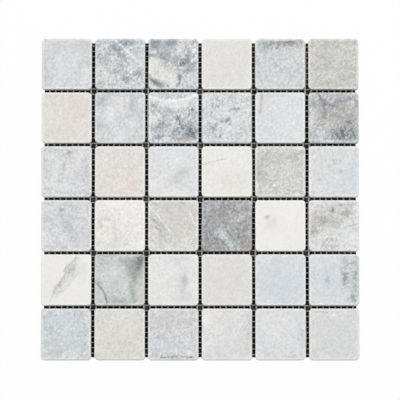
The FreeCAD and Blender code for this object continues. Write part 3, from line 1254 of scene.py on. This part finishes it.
marble(4, 3, "bone", "dove", 0.9, 0.8, 0.6, bed=120, figure=[
    cloud("dove", (0.0, 0.3), (1.3, 1.0), 0.75),
    cloud("fog", (0.0, 0.8), (1.3, 0.5), 0.16, grain=0.1, soft=1.2),
    cloud("pearl", (0.2, -0.8), (1.1, 0.5), 0.5, grain=0.1, soft=1.2),
    cloud("fog", (-0.6, 0.12), (0.6, 0.14), 0.6, turn=-35, grain=0.6, soft=1.0),
    vein("stone", (-1.0, 0.4), (-0.25, -0.2), 0.06, 0.7, wobble=0.3, ragged=4.0, broken=0.7),
    vein("stone", (-0.95, 0.15), (-0.45, -0.3), 0.05, 0.6, wobble=0.3, ragged=4.0, broken=0.7),
    vein("fog", (-0.9, 0.95), (-0.1, 0.5), 0.06, 0.7, wobble=0.4, ragged=4.0, broken=0.7),
    cloud("moss", (0.35, 0.92), (0.25, 0.08), 0.4, grain=0.3, soft=1.0),
    cloud("fog", (-0.4, -0.45), (0.5, 0.1), 0.6, turn=-50, grain=0.4, soft=1.0),
    cloud("ash", (-0.5, -0.6), (0.4, 0.3), 0.5, grain=0.5),
    vein("snow", (-1.0, 0.85), (-0.05, -0.32), 0.06, 0.85, wobble=0.12, ragged=2.5, broken=0.6),
    vein("chalk", (-0.85, 0.85), (0.1, -0.2), 0.1, 0.5, wobble=0.2, ragged=3.0, broken=0.7),
    vein("snow", (0.6, 0.65), (0.92, -0.1), 0.055, 0.75, wobble=0.12, ragged=2.5, broken=0.6),
])
marble(4, 4, "fog", "stone", 0.75, 1.0, 0.9, bed=120, pepper=0.5, hair=0.3, crystal=0.2, wear=0.4, figure=[
    cloud("taupe", (0.2, 0.3), (1.8, 1.8), 0.5, grain=0.1, soft=1.0),
    cloud("stone", (-0.5, 0.4), (0.9, 1.0), 0.35, grain=0.1, soft=1.2),
    cloud("plum", (0.5, 0.0), (0.8, 0.35), 0.4, grain=0.4, soft=1.2),
    cloud("taupe", (0.8, -0.7), (0.6, 0.7), 0.6, grain=0.1, soft=1.2),
    cloud("taupe", (-0.85, -0.8), (0.6, 0.5), 0.5, grain=0.1, soft=1.2),
    cloud("umber", (-0.85, -0.6), (0.3, 0.4), 0.2, grain=0.3, soft=1.2),
    cloud("ice", (-0.72, 0.6), (0.4, 0.4), 0.4, grain=0.7, soft=1.2),
    cloud("ice", (-0.2, -0.35), (0.6, 0.4), 0.35, turn=-40, grain=0.6, soft=1.4),
    cloud("ice", (0.1, -0.75), (0.7, 0.3), 0.25, turn=-45, grain=0.7, soft=1.4),
    cloud("slate", (0.15, -0.4), (0.22, 0.3), 0.8, turn=40, grain=0.6, soft=1.0),
    cloud("frost", (0.45, 0.2), (0.8, 0.2), 0.45, turn=27, grain=1.0, thin=0.06),
    cloud("frost", (-0.1, -0.35), (0.6, 0.5), 0.35, turn=-40, grain=1.0, thin=0.1),
    vein("ice", (1.0, 0.6), (0.1, 0.0), 0.16, 0.3, wobble=0.7, ragged=5.0, broken=0.7),
    vein("ice", (-0.6, 0.0), (0.65, -1.1), 0.14, 0.3, sag=0.06, wobble=0.6, ragged=5.0, broken=0.7),
    vein("frost", (-0.3, -0.3), (0.45, -1.1), 0.06, 0.4, sag=0.02, wobble=0.6, ragged=5.0, broken=0.7),
    vein("ice", (-0.1, -0.5), (0.3, -1.1), 0.12, 0.4, wobble=0.6, ragged=5.0, broken=0.6),
    cloud("frost", (0.97, 0.9), (0.12, 0.3), 0.5, grain=0.6),
])
marble(4, 5, "snow", "chalk", 0.6, 0.2, 0.15, figure=[
    cloud("bone", (-0.4, 0.1), (0.55, 0.35), 0.8, turn=30, soft=1.0),
    cloud("dove", (-0.52, 0.33), (0.24, 0.16), 1.0, turn=30, grain=0.3, soft=1.0),
    cloud("taupe", (-0.54, 0.32), (0.13, 0.1), 0.65, turn=30, grain=0.5, soft=1.0),
])
marble(4, 6, "pearl", "dove", 0.9, 0.75, 0.6, bed=30, pepper=0.4, crystal=0.2, figure=[
    cloud("dove", (-0.3, 0.4), (1.1, 0.8), 0.6, grain=0.3),
    cloud("taupe", (-0.5, 0.2), (0.8, 0.45), 0.6, turn=-5, grain=0.6, soft=1.2),
    cloud("umber", (-0.35, 0.2), (0.9, 0.35), 0.38, turn=-5, grain=1.0, thin=0.05),
    cloud("taupe", (0.45, 0.45), (0.8, 0.35), 0.5, turn=38, grain=0.7, soft=1.2),
    cloud("umber", (0.5, 0.5), (0.9, 0.4), 0.35, turn=38, grain=1.0, thin=0.07),
    cloud("umber", (-0.7, -0.2), (0.5, 0.6), 0.5, grain=1.0, thin=0.09),
    cloud("fog", (0.0, 0.05), (0.3, 0.4), 0.5, turn=20, grain=0.5, soft=1.2),
    cloud("stone", (-0.06, 0.59), (0.2, 0.17), 1.0, grain=0.75, soft=0.8),
    cloud("fog", (-0.1, -0.8), (0.4, 0.3), 0.35, grain=0.6, soft=1.2),
    cloud("taupe", (-0.8, -0.2), (0.3, 0.45), 0.6, grain=0.8),
    cloud("taupe", (-0.3, -0.6), (0.5, 0.12), 0.5, turn=50, grain=0.8),
    vein("umber", (0.1, 0.8), (0.95, 0.85), 0.05, 0.6, wobble=0.6, broken=0.8),
    cloud("rust", (-0.92, 0.35), (0.09, 0.6), 0.6, grain=0.5),
    cloud("pearl", (0.65, -0.5), (0.6, 0.5), 0.9, grain=0.1),
])
print("tiles with their stone so far:", count_finished())

# %% [markdown]
# The fifth row starts with a white tile that a feathery grey vein crosses, and then a clouded
# grey-green one. The last tile has dark streaks down its right half.

# %% The fifth row
marble(5, 1, "snow", "chalk", 0.6, 0.2, 0.15, figure=[
    cloud("dove", (0.2, 0.38), (0.5, 0.36), 0.65, turn=52, ragged=1.6, grain=0.4, soft=1.2),
    cloud("fog", (0.2, 0.36), (0.5, 0.38), 0.6, turn=52, grain=1.0, thin=0.03),
    cloud("dove", (0.44, 0.84), (0.34, 0.15), 0.7, turn=80, ragged=1.6, grain=0.4, soft=1.0),
    cloud("dove", (0.65, 0.4), (0.4, 0.6), 0.3, ragged=2.0, grain=0.3, soft=1.2),
    cloud("dove", (-0.1, -0.1), (1.0, 0.32), 0.65, turn=57, ragged=1.6, grain=0.5, soft=1.0),
    cloud("fog", (-0.3, -0.28), (0.75, 0.26), 0.5, turn=60, ragged=1.8, grain=1.0, thin=0.03),
    vein("fog", (0.52, 1.1), (-0.1, 0.3), 0.06, 0.8, wobble=0.4, ragged=4.0, broken=0.6),
    vein("taupe", (0.3, 0.7), (-0.7, -0.95), 0.05, 0.6, sag=-0.04, wobble=0.4, ragged=4.0, broken=0.6),
    vein("fog", (0.55, 0.35), (-0.5, -0.75), 0.05, 0.45, sag=0.03, wobble=0.4, ragged=4.0, broken=0.6),
    vein("slate", (0.4, 0.75), (0.05, 0.2), 0.04, 0.5, wobble=0.5, ragged=3.0, broken=0.6),
])
marble(5, 2, "dew", "ash", 1.1, 0.55, hair=0.1, wear=0.7, figure=[
    cloud("taupe", (-0.6, 0.7), (0.6, 0.4), 0.25, grain=0.3, soft=1.2),
    cloud("moss", (-0.5, 0.97), (0.9, 0.12), 0.4, grain=0.5, soft=1.0),
    cloud("sage", (0.05, 0.75), (0.35, 0.35), 0.6, grain=0.3, soft=1.2),
    cloud("sage", (0.6, 0.4), (0.55, 0.8), 0.8, grain=0.2, soft=1.0),
    cloud("moss", (0.35, 0.65), (0.3, 0.5), 0.55, turn=10, grain=0.3, soft=1.4),
    cloud("moss", (0.55, 0.15), (0.2, 0.6), 0.6, turn=12, grain=0.3, soft=1.2),
    cloud("moss", (0.8, 0.6), (0.5, 0.6), 0.6, grain=0.4, soft=1.2),
    cloud("iron", (0.88, 0.88), (0.5, 0.35), 0.8, grain=0.6, soft=1.2),
    cloud("iron", (0.75, 0.7), (0.5, 0.5), 0.6, grain=1.0, thin=0.06),
    cloud("pearl", (-0.2, 0.3), (0.5, 0.5), 0.6, grain=0.3, soft=1.2),
    cloud("pearl", (0.1, -0.3), (0.3, 0.5), 0.5, grain=0.3, soft=1.2),
    cloud("dew", (0.3, -0.1), (0.14, 0.4), 0.6, turn=-15, grain=0.3, soft=1.2),
    cloud("sage", (0.0, -0.85), (0.8, 0.25), 0.7, grain=0.2, soft=1.0),
    cloud("sage", (-0.2, -0.1), (0.25, 0.2), 0.4, grain=0.4, soft=1.2),
    cloud("dove", (-0.85, -0.6), (0.28, 0.4), 0.9, ragged=1.0),
    cloud("sage", (-0.85, -0.12), (0.35, 0.14), 0.8, grain=0.3, soft=1.0),
    cloud("moss", (0.5, -0.6), (0.14, 0.5), 0.4, turn=12, grain=0.4, soft=1.0),
    cloud("dove", (0.8, -0.55), (0.24, 0.5), 0.9, grain=0.2),
    vein("moss", (-1.05, -0.05), (-0.5, -1.1), 0.07, 0.9, sag=0.16, wobble=0.1, ragged=2.5, broken=0.4),
    vein("sage", (0.45, 0.0), (0.6, -0.95), 0.16, 0.8, wobble=0.3, ragged=4.0),
])
marble(5, 3, "chalk", "pearl", 0.7, 0.4, figure=[
    cloud("mist", (0.4, -0.1), (0.45, 0.9), 0.7, soft=1.0),
    cloud("plum", (0.4, -0.1), (0.3, 1.0), 0.1, grain=0.2, soft=1.4),
    cloud("ash", (0.1, 0.8), (0.6, 0.4), 0.35, grain=0.3, soft=1.2),
    cloud("fog", (0.4, 0.0), (0.28, 0.35), 0.4, grain=0.6, soft=1.4),
    cloud("taupe", (0.45, -0.05), (0.18, 0.24), 0.35, grain=0.7, soft=1.4),
    cloud("ash", (0.38, -0.45), (0.16, 0.5), 0.5, grain=0.4, soft=1.2),
    cloud("blush", (0.3, -0.3), (0.18, 0.24), 0.4, soft=1.0),
    cloud("mist", (0.4, -0.7), (0.5, 0.25), 0.8),
])
marble(5, 4, "bone", "bone", 0.8, 0.5, figure=[
    cloud("mist", (0.0, 0.0), (1.6, 1.6), 0.22, grain=0.1),
    cloud("taupe", (0.3, -0.2), (0.7, 0.8), 0.05, soft=1.4),
    cloud("blush", (0.9, 0.97), (0.4, 0.12), 1.0),
])
marble(5, 5, "pearl", "ice", 0.8, 0.6, figure=[
    cloud("mist", (0.0, 0.0), (1.6, 1.6), 0.45, grain=0.1),
    cloud("ice", (0.2, -0.2), (1.2, 1.1), 0.5),
    cloud("plum", (-0.5, -0.4), (0.6, 0.5), 0.04, soft=1.4),
])
marble(5, 6, "pearl", "mist", 0.7, 0.4, bed=80, crystal=0.2, figure=[
    cloud("ice", (-0.1, 0.0), (0.8, 1.2), 0.6, grain=0.1),
    cloud("ash", (0.8, 0.1), (0.65, 1.5), 0.7, grain=0.5, soft=1.0),
    cloud("fog", (-0.27, -0.05), (0.2, 0.4), 0.75, ragged=1.6, grain=0.4, soft=1.4),
    cloud("fog", (0.4, 0.05), (0.24, 0.8), 0.85, grain=0.4, soft=1.2),
    cloud("slate", (0.42, 0.08), (0.2, 0.7), 0.7, grain=1.0, thin=0.02),
    cloud("fog", (0.4, 0.8), (0.2, 0.4), 0.6, grain=0.6, soft=1.2),
    cloud("fog", (0.92, 0.0), (0.3, 1.8), 0.7, grain=0.6, soft=1.0),
    cloud("slate", (0.75, 0.7), (0.5, 0.4), 0.6, grain=1.0, thin=0.06),
    cloud("slate", (0.75, -0.7), (0.4, 0.5), 0.7, grain=1.0, thin=0.05),
    cloud("slate", (0.8, 0.0), (0.7, 2.4), 0.6, grain=1.0, thin=0.13),
    cloud("fog", (-0.8, 0.2), (0.4, 1.2), 0.6, grain=1.0, thin=0.12),
])
print("tiles with their stone so far:", count_finished())

# %% [markdown]
# The last row is plain again, in cool and warm greys. Small marks set its tiles apart: a dark
# line at the foot of the third, a cream corner on the fourth and a rusty fleck on the fifth.

# %% The sixth row
marble(6, 1, "pearl", "ash", 1.0, 0.7, figure=[
    cloud("ice", (0.0, 0.0), (1.4, 1.4), 0.6),
    cloud("ash", (-0.5, -0.6), (0.5, 0.5), 0.6, grain=0.4),
])
marble(6, 2, "bone", "dove", 0.8, 0.45, figure=[
    cloud("bone", (0.0, 0.0), (1.5, 1.5), 0.6),
    cloud("chalk", (0.1, 0.9), (1.3, 0.6), 0.45, grain=0.1, soft=1.2),
    cloud("taupe", (0.0, -0.7), (1.2, 0.5), 0.08, grain=0.2, soft=1.4),
])
marble(6, 3, "pearl", "ash", 0.8, 0.6, hair=0.06, figure=[
    cloud("dove", (0.0, 0.6), (1.2, 0.6), 0.7, soft=1.0),
    cloud("ice", (-0.3, -0.5), (0.9, 0.4), 0.8, soft=1.0),
    cloud("slate", (0.3, -0.95), (0.8, 0.12), 0.4, grain=0.9, soft=1.0),
    vein("iron", (-0.6, -0.92), (0.85, -0.9), 0.06, 1.0, wobble=0.3, ragged=3.0, broken=0.9),
])
marble(6, 4, "chalk", "mist", 0.8, 0.3, figure=[
    cloud("mist", (0.1, -0.6), (1.3, 0.6), 0.4, soft=1.2),
    cloud("snow", (-0.8, 0.5), (0.35, 0.5), 0.6, soft=1.0),
    cloud("snow", (-0.6, 0.8), (0.8, 0.5), 0.35, grain=0.1, soft=1.2),
    cloud("straw", (-0.5, 0.75), (0.4, 0.55), 0.55, grain=0.1, soft=1.2),
    cloud("sage", (1.2, -0.2), (0.9, 1.6), 0.35, grain=0.1, soft=1.2),
    cloud("taupe", (-0.6, -0.9), (0.8, 0.3), 0.2, grain=0.1, soft=1.4),
    cloud("dove", (0.85, -0.3), (0.3, 0.6), 0.4),
])
marble(6, 5, "pearl", "mist", 0.8, 0.4, figure=[
    cloud("chalk", (0.0, 0.1), (0.9, 0.9), 0.35, soft=1.0),
    cloud("chalk", (-0.5, 0.7), (1.0, 0.7), 0.6, grain=0.1, soft=1.4),
    cloud("sage", (1.1, 0.0), (0.6, 1.5), 0.3, grain=0.1, soft=1.2),
    cloud("rust", (-0.62, -0.87), (0.06, 0.2), 0.7, grain=0.2, soft=0.8),
    cloud("taupe", (0.45, -0.9), (0.35, 0.06), 0.5, grain=0.7),
])
marble(6, 6, "bone", "mist", 0.8, 0.5, figure=[
    cloud("mist", (0.0, 0.0), (1.3, 1.3), 0.5),
    cloud("snow", (-0.04, 0.76), (0.12, 0.06), 0.9),
    vein("fog", (-0.7, 0.85), (-0.2, 0.87), 0.05, 0.8),
])
print("tiles with their stone so far:", count_finished())

# %% [markdown]
# ## The woven net
#
# The net is glass-fibre yarn, woven open and coated so that it keeps its shape. The threads
# along the rows are one flat yarn each, and those along the columns are a pair. Their places
# could be a list. A whole number of net cells fits each tile's pitch, so that the pitch and
# the boxes of the CAD net give every place.

# %% Where the threads run
CELLS_ACROSS_TILE = 9
CELLS_UP_TILE = 10
PAIR_GAP = 0.06 * MM


def pitch_between(first, second, axis):
    """Return how far apart two neighbouring tiles' middles lie along one axis."""
    return abs(box_middle_and_half(first)[0][axis] - box_middle_and_half(second)[0][axis])


def thread_places(cell, low, high):
    """Return the middles of the threads between two limits, half a cell off the sheet's middle."""
    pairs = int(min(-low, high) / cell + 0.5)
    return [(step + 0.5) * cell for step in range(-pairs, pairs)]


weft_low, weft_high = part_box("net_weft_threads")
warp_low, warp_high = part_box("net_warp_threads")
cell_x = pitch_between(tile_name(1, 1), tile_name(1, 2), 0) / CELLS_ACROSS_TILE
cell_y = pitch_between(tile_name(1, 1), tile_name(2, 1), 1) / CELLS_UP_TILE
weft_places = thread_places(cell_y, weft_low.y, weft_high.y)
warp_places = thread_places(cell_x, warp_low.x, warp_high.x)
weft_width = weft_high.y - weft_low.y - (weft_places[-1] - weft_places[0])
warp_width = warp_high.x - warp_low.x - (warp_places[-1] - warp_places[0])
pair_width = (warp_width - PAIR_GAP) / 2
pair_shift = (pair_width + PAIR_GAP) / 2
weave_middle = (weft_low.z + warp_high.z) / 2
yarn_thick = weft_high.z - weft_low.z
print("threads:", len(weft_places), "weft and", len(warp_places), "warp")

# %% [markdown]
# A straight six-sided yarn with a knife cut at each crossing and between crossings can be
# copied to every place, and then one formula lifts and lowers all its points into the weave.
# Real curves with a bevel would do it too, but would give far more faces for threads that
# show only in the joints.

# %% Straight yarns, copied and woven
YARN_SIDES = 6
END_CELLS = 1 / 8
LEAN = math.radians(0.15)
WANDER = 0.22 * MM
WANDER_SPAN = 30 * MM
THREAD_SEED_STEP = 3.1
AXIS_SEED_STEP = 7.0
DRIFT_ALONG_ROWS = 1.6 * MM
DRIFT_UP_COLUMNS = 3.2 * MM
DRIFT_SPAN = 85 * MM
DRIFT_SEEDS = (5.0, 13.0)


def add_yarn(shape, along, place, low, high, width):
    """Add a straight flat yarn along one axis."""
    across = 1 - along
    made = bmesh.ops.create_cone(
        shape,
        cap_ends=True,
        segments=YARN_SIDES,
        radius1=1,
        radius2=1,
        depth=high - low,
        matrix=Matrix.Rotation(math.radians(90), 4, "Y" if along == 0 else "X"),
    )
    size = Vector((1, 1, yarn_thick / 2))
    size[across] = width / 2
    bmesh.ops.scale(shape, vec=size, verts=made["verts"])
    shift = Vector((0, 0, weave_middle))
    shift[across] = place
    shift[along] = (low + high) / 2
    bmesh.ops.translate(shape, vec=shift, verts=made["verts"])


def cut_at_crossings(shape, along, low, high, cell):
    """Cut a set of yarns across, at each crossing and midway between crossings."""
    normal = Vector((0, 0, 0))
    normal[along] = 1
    steps = int((high - low) / cell)
    for step in range(-steps, steps + 1):
        place = step * cell / 2
        if low + cell * END_CELLS < place < high - cell * END_CELLS:
            knife(shape, normal * place, normal)


def weave(shape, along, cell_along, cell_across, side, drift):
    """Lift and lower every point of a set of yarns, over one crossing and under the next.

    Each yarn also wanders a little by itself, and the drift pulls the set out of true as one.
    """
    across = 1 - along
    drift_seed = Vector((0, 0, DRIFT_SEEDS[along]))
    for vertex in shape.verts:
        place = vertex.co
        thread = round(place[across] / cell_across - 0.5)
        over = side * math.cos(math.pi * (place[along] / cell_along - 0.5 - thread))
        spot = Vector(
            (place[along] / WANDER_SPAN, thread * THREAD_SEED_STEP, along * AXIS_SEED_STEP)
        )
        pull = noise.noise(place / DRIFT_SPAN + drift_seed)
        place[across] += WANDER * noise.noise(spot) + drift * pull
        place.z += over * yarn_thick / 2


def net_piece(node, along, places, width, side, drift):
    """Make all the yarns that run along one axis as one piece."""
    low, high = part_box(node)
    cells = (cell_x, cell_y)
    shape = bmesh.new()
    for place in places:
        add_yarn(shape, along, place, low[along], high[along], width)
    cut_at_crossings(shape, along, low[along], high[along], cells[along])
    weave(shape, along, cells[along], cells[1 - along], side, drift)
    if along == 0:
        for vertex in shape.verts:
            vertex.co.y -= math.tan(LEAN) * vertex.co.x
    return finish_piece(f"woven_{node}", shape, "glass_fibre_net", node)


warp_pairs = [place + share for place in warp_places for share in (-pair_shift, pair_shift)]
weft_net = net_piece("net_weft_threads", 0, weft_places, weft_width, 1, DRIFT_ALONG_ROWS)
warp_net = net_piece("net_warp_threads", 1, warp_pairs, pair_width, -1, DRIFT_UP_COLUMNS)
print("yarn faces:", len(weft_net.data.polygons), len(warp_net.data.polygons))

# %% [markdown]
# The coated yarn is a dull off-white. Fine stripes along it stand for its fibres, and a
# slow noise makes some stretches greyer, where dust and adhesive cling to the coating. The
# yarns along the columns get paler tones than those along the rows: painted light, since
# they cross the horizontal joints, which lie in deeper shade.

# %% The yarns' finish
WEFT_TONES = (seen(178, 176, 171), seen(219, 217, 211))
# Paler than the weft tones: painted light, as these yarns cross the horizontal joints, which lie in deeper
# shade.
WARP_TONES_PAINTED_PALER = (seen(226, 224, 219), seen(249, 248, 244))
FIBRES_ALONG = 300.0
FIBRES_ACROSS = 6000.0
FIBRE_NOISE = (1.0, 2.0)
FIBRE_SEED = 2.0
FIBRE_SHARE = 0.8
DUST_PATCH_NOISE = (260.0, 3.0)
DUST_PATCH_SEED = 5.0
YARN_TONE_EDGE = (0.3, 0.7)
YARN_ROUGHNESS = 0.6
FIBRE_DEPTH = 0.05 * MM


def coated_yarn(name, along, dull, pale):
    """Make the finish of the yarns that run along one axis, between two tones."""
    material, tree, shader = new_material(name)
    place = object_place(tree)
    stretch = [FIBRES_ACROSS, FIBRES_ACROSS, FIBRES_ACROSS]
    stretch[along] = FIBRES_ALONG
    fibre_place = reckon_vector(tree, "MULTIPLY", place, stretch)
    fibres = noise_at(tree, fibre_place, FIBRE_SEED, *FIBRE_NOISE)
    patches = noise_at(tree, place, DUST_PATCH_SEED, *DUST_PATCH_NOISE)
    tone = reckon(tree, "ADD", swing(tree, fibres, FIBRE_SHARE), patches)
    colour = blend_colours(tree, smooth_step(tree, tone, *YARN_TONE_EDGE), dull, pale)
    tree.links.new(colour, shader.inputs["Base Color"])
    shader.inputs["Roughness"].default_value = YARN_ROUGHNESS
    add_bump(tree, shader, fibres, FIBRE_DEPTH)
    return material


weft_net.data.materials.append(coated_yarn("glass_yarn_weft", 0, *WEFT_TONES))
warp_net.data.materials.append(coated_yarn("glass_yarn_warp", 1, *WARP_TONES_PAINTED_PALER))
print("yarn finishes:", weft_net.data.materials[0].name, warp_net.data.materials[0].name)

# %% [markdown]
# ## The black film
#
# A thin film closes the back, so that every joint looks black from the front. Pressed on
# while warm, it takes the net's print: on the underside the threads stand out as a grid of
# low ribs with a shallow pad in each cell. A fine displacement would need a very dense mesh.
# A grid with one face for each cell, inset twice, gives the same ribs with few faces.

# %% A film with the net's print on its back
RIB_HALF = 0.45 * MM
RIB_SLOPE = 0.3 * MM
PAD_DEPTH = 0.1 * MM
film_low, film_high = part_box("backing_film")


def film_back():
    """Return the film's underside as a grid with a face for each cell, cut to the film's size."""
    shape = bmesh.new()
    across, up = len(warp_places) + 1, len(weft_places) + 1
    bmesh.ops.create_grid(shape, x_segments=across, y_segments=up, size=1)
    grid_half = Vector((across * cell_x / 2, up * cell_y / 2, 1))
    bmesh.ops.scale(shape, vec=grid_half, verts=shape.verts)
    for axis in (0, 1):
        for limit, side in ((film_low, -1), (film_high, 1)):
            point, normal = Vector((0, 0, 0)), Vector((0, 0, 0))
            point[axis], normal[axis] = limit[axis], side
            knife(shape, point, normal, drop_outside=True)
    bmesh.ops.translate(shape, vec=(0, 0, film_low.z), verts=shape.verts)
    bmesh.ops.reverse_faces(shape, faces=shape.faces)
    return shape


def make_film():
    shape = film_back()
    cells_under = shape.faces[:]
    outline = [edge for edge in shape.edges if edge.is_boundary]
    walls = bmesh.ops.extrude_edge_only(shape, edges=outline)["geom"]
    raised = [item for item in walls if isinstance(item, bmesh.types.BMVert)]
    bmesh.ops.translate(shape, vec=(0, 0, film_high.z - film_low.z), verts=raised)
    rim = [edge for edge in shape.edges if edge.is_boundary]
    bmesh.ops.edgeloop_fill(shape, edges=rim)
    bmesh.ops.inset_individual(shape, faces=cells_under, thickness=RIB_HALF, depth=0)
    bmesh.ops.inset_individual(shape, faces=cells_under, thickness=RIB_SLOPE, depth=-PAD_DEPTH)
    bmesh.ops.recalc_face_normals(shape, faces=shape.faces)
    return finish_piece("pressed_black_film", shape, "black_film", "backing_film")


film = make_film()
print("film faces:", len(film.data.polygons))

# %% [markdown]
# Where four tiles meet the gap is widest, so more light reaches the film there than in the
# narrow joints. The film's finish paints that light in as a grey: painted light, not dust.
# Small grey pieces at those places would do, but light like this has no edge. The finish
# finds the places by wrapping its coordinates at the tiles' pitch, and keeps to the upper face.

# %% The film's finish
PITCH = Vector((cell_x * CELLS_ACROSS_TILE, cell_y * CELLS_UP_TILE, 1))
FILM_BLACK = (0.006, 0.006, 0.0065, 1)
FILM_DUSTY = (0.014, 0.014, 0.0145, 1)
# Painted light: the grey that the film shows where the wide gap at a crossing lets more light in.
CROSSING_LIGHT_GREY = (0.09, 0.09, 0.085, 1)
DUST_NOISE = (45.0, 4.0)
DUST_SEED = 1.0
WRINKLE_NOISE = (700.0, 3.0)
WRINKLE_SEED = 4.0
DUST_EDGE = (0.35, 0.75)
CROSSING_LIGHT_DUST_EDGE = (0.35, 0.55)
CROSSING_LIGHT_WRINKLE_EDGE = (0.35, 0.6)
CROSSING_LIGHT_REACH = (4.4 * MM, 1.8 * MM)
UPPER_FACE = (0.15 * MM, 0.25 * MM)
FILM_ROUGHNESS = (0.55, 0.8)
FILM_SHINE = 0.2
WRINKLE_DEPTH = 0.08 * MM


def black_film():
    material, tree, shader = new_material("black_film")
    place = object_place(tree)
    dust = noise_at(tree, place, DUST_SEED, *DUST_NOISE)
    wrinkles = noise_at(tree, place, WRINKLE_SEED, *WRINKLE_NOISE)
    colour = blend_colours(tree, smooth_step(tree, dust, *DUST_EDGE), FILM_BLACK, FILM_DUSTY)
    offset = reckon_vector(tree, "WRAP", place, PITCH / 2, -PITCH / 2)
    gap = reckon_vector(tree, "LENGTH", reckon_vector(tree, "MULTIPLY", offset, FLAT))
    height = reckon_vector(tree, "DOT_PRODUCT", place, (0, 0, 1))
    # Painted light: grey near where four tiles meet, broken up by the wrinkle and dust noises, on the
    # upper face only.
    painted_light_mask = smooth_step(tree, gap, *CROSSING_LIGHT_REACH)
    for limit in (
        smooth_step(tree, wrinkles, *CROSSING_LIGHT_WRINKLE_EDGE),
        smooth_step(tree, dust, *CROSSING_LIGHT_DUST_EDGE),
        smooth_step(tree, height, *UPPER_FACE),
    ):
        painted_light_mask = reckon(tree, "MULTIPLY", painted_light_mask, limit)
    colour = blend_colours(tree, painted_light_mask, colour, CROSSING_LIGHT_GREY)
    tree.links.new(colour, shader.inputs["Base Color"])
    tree.links.new(between(tree, dust, *FILM_ROUGHNESS), shader.inputs["Roughness"])
    shader.inputs["Specular IOR Level"].default_value = FILM_SHINE
    add_bump(tree, shader, wrinkles, WRINKLE_DEPTH)
    return material


film.data.materials.append(black_film())
print("film finish:", film.data.materials[0].name)
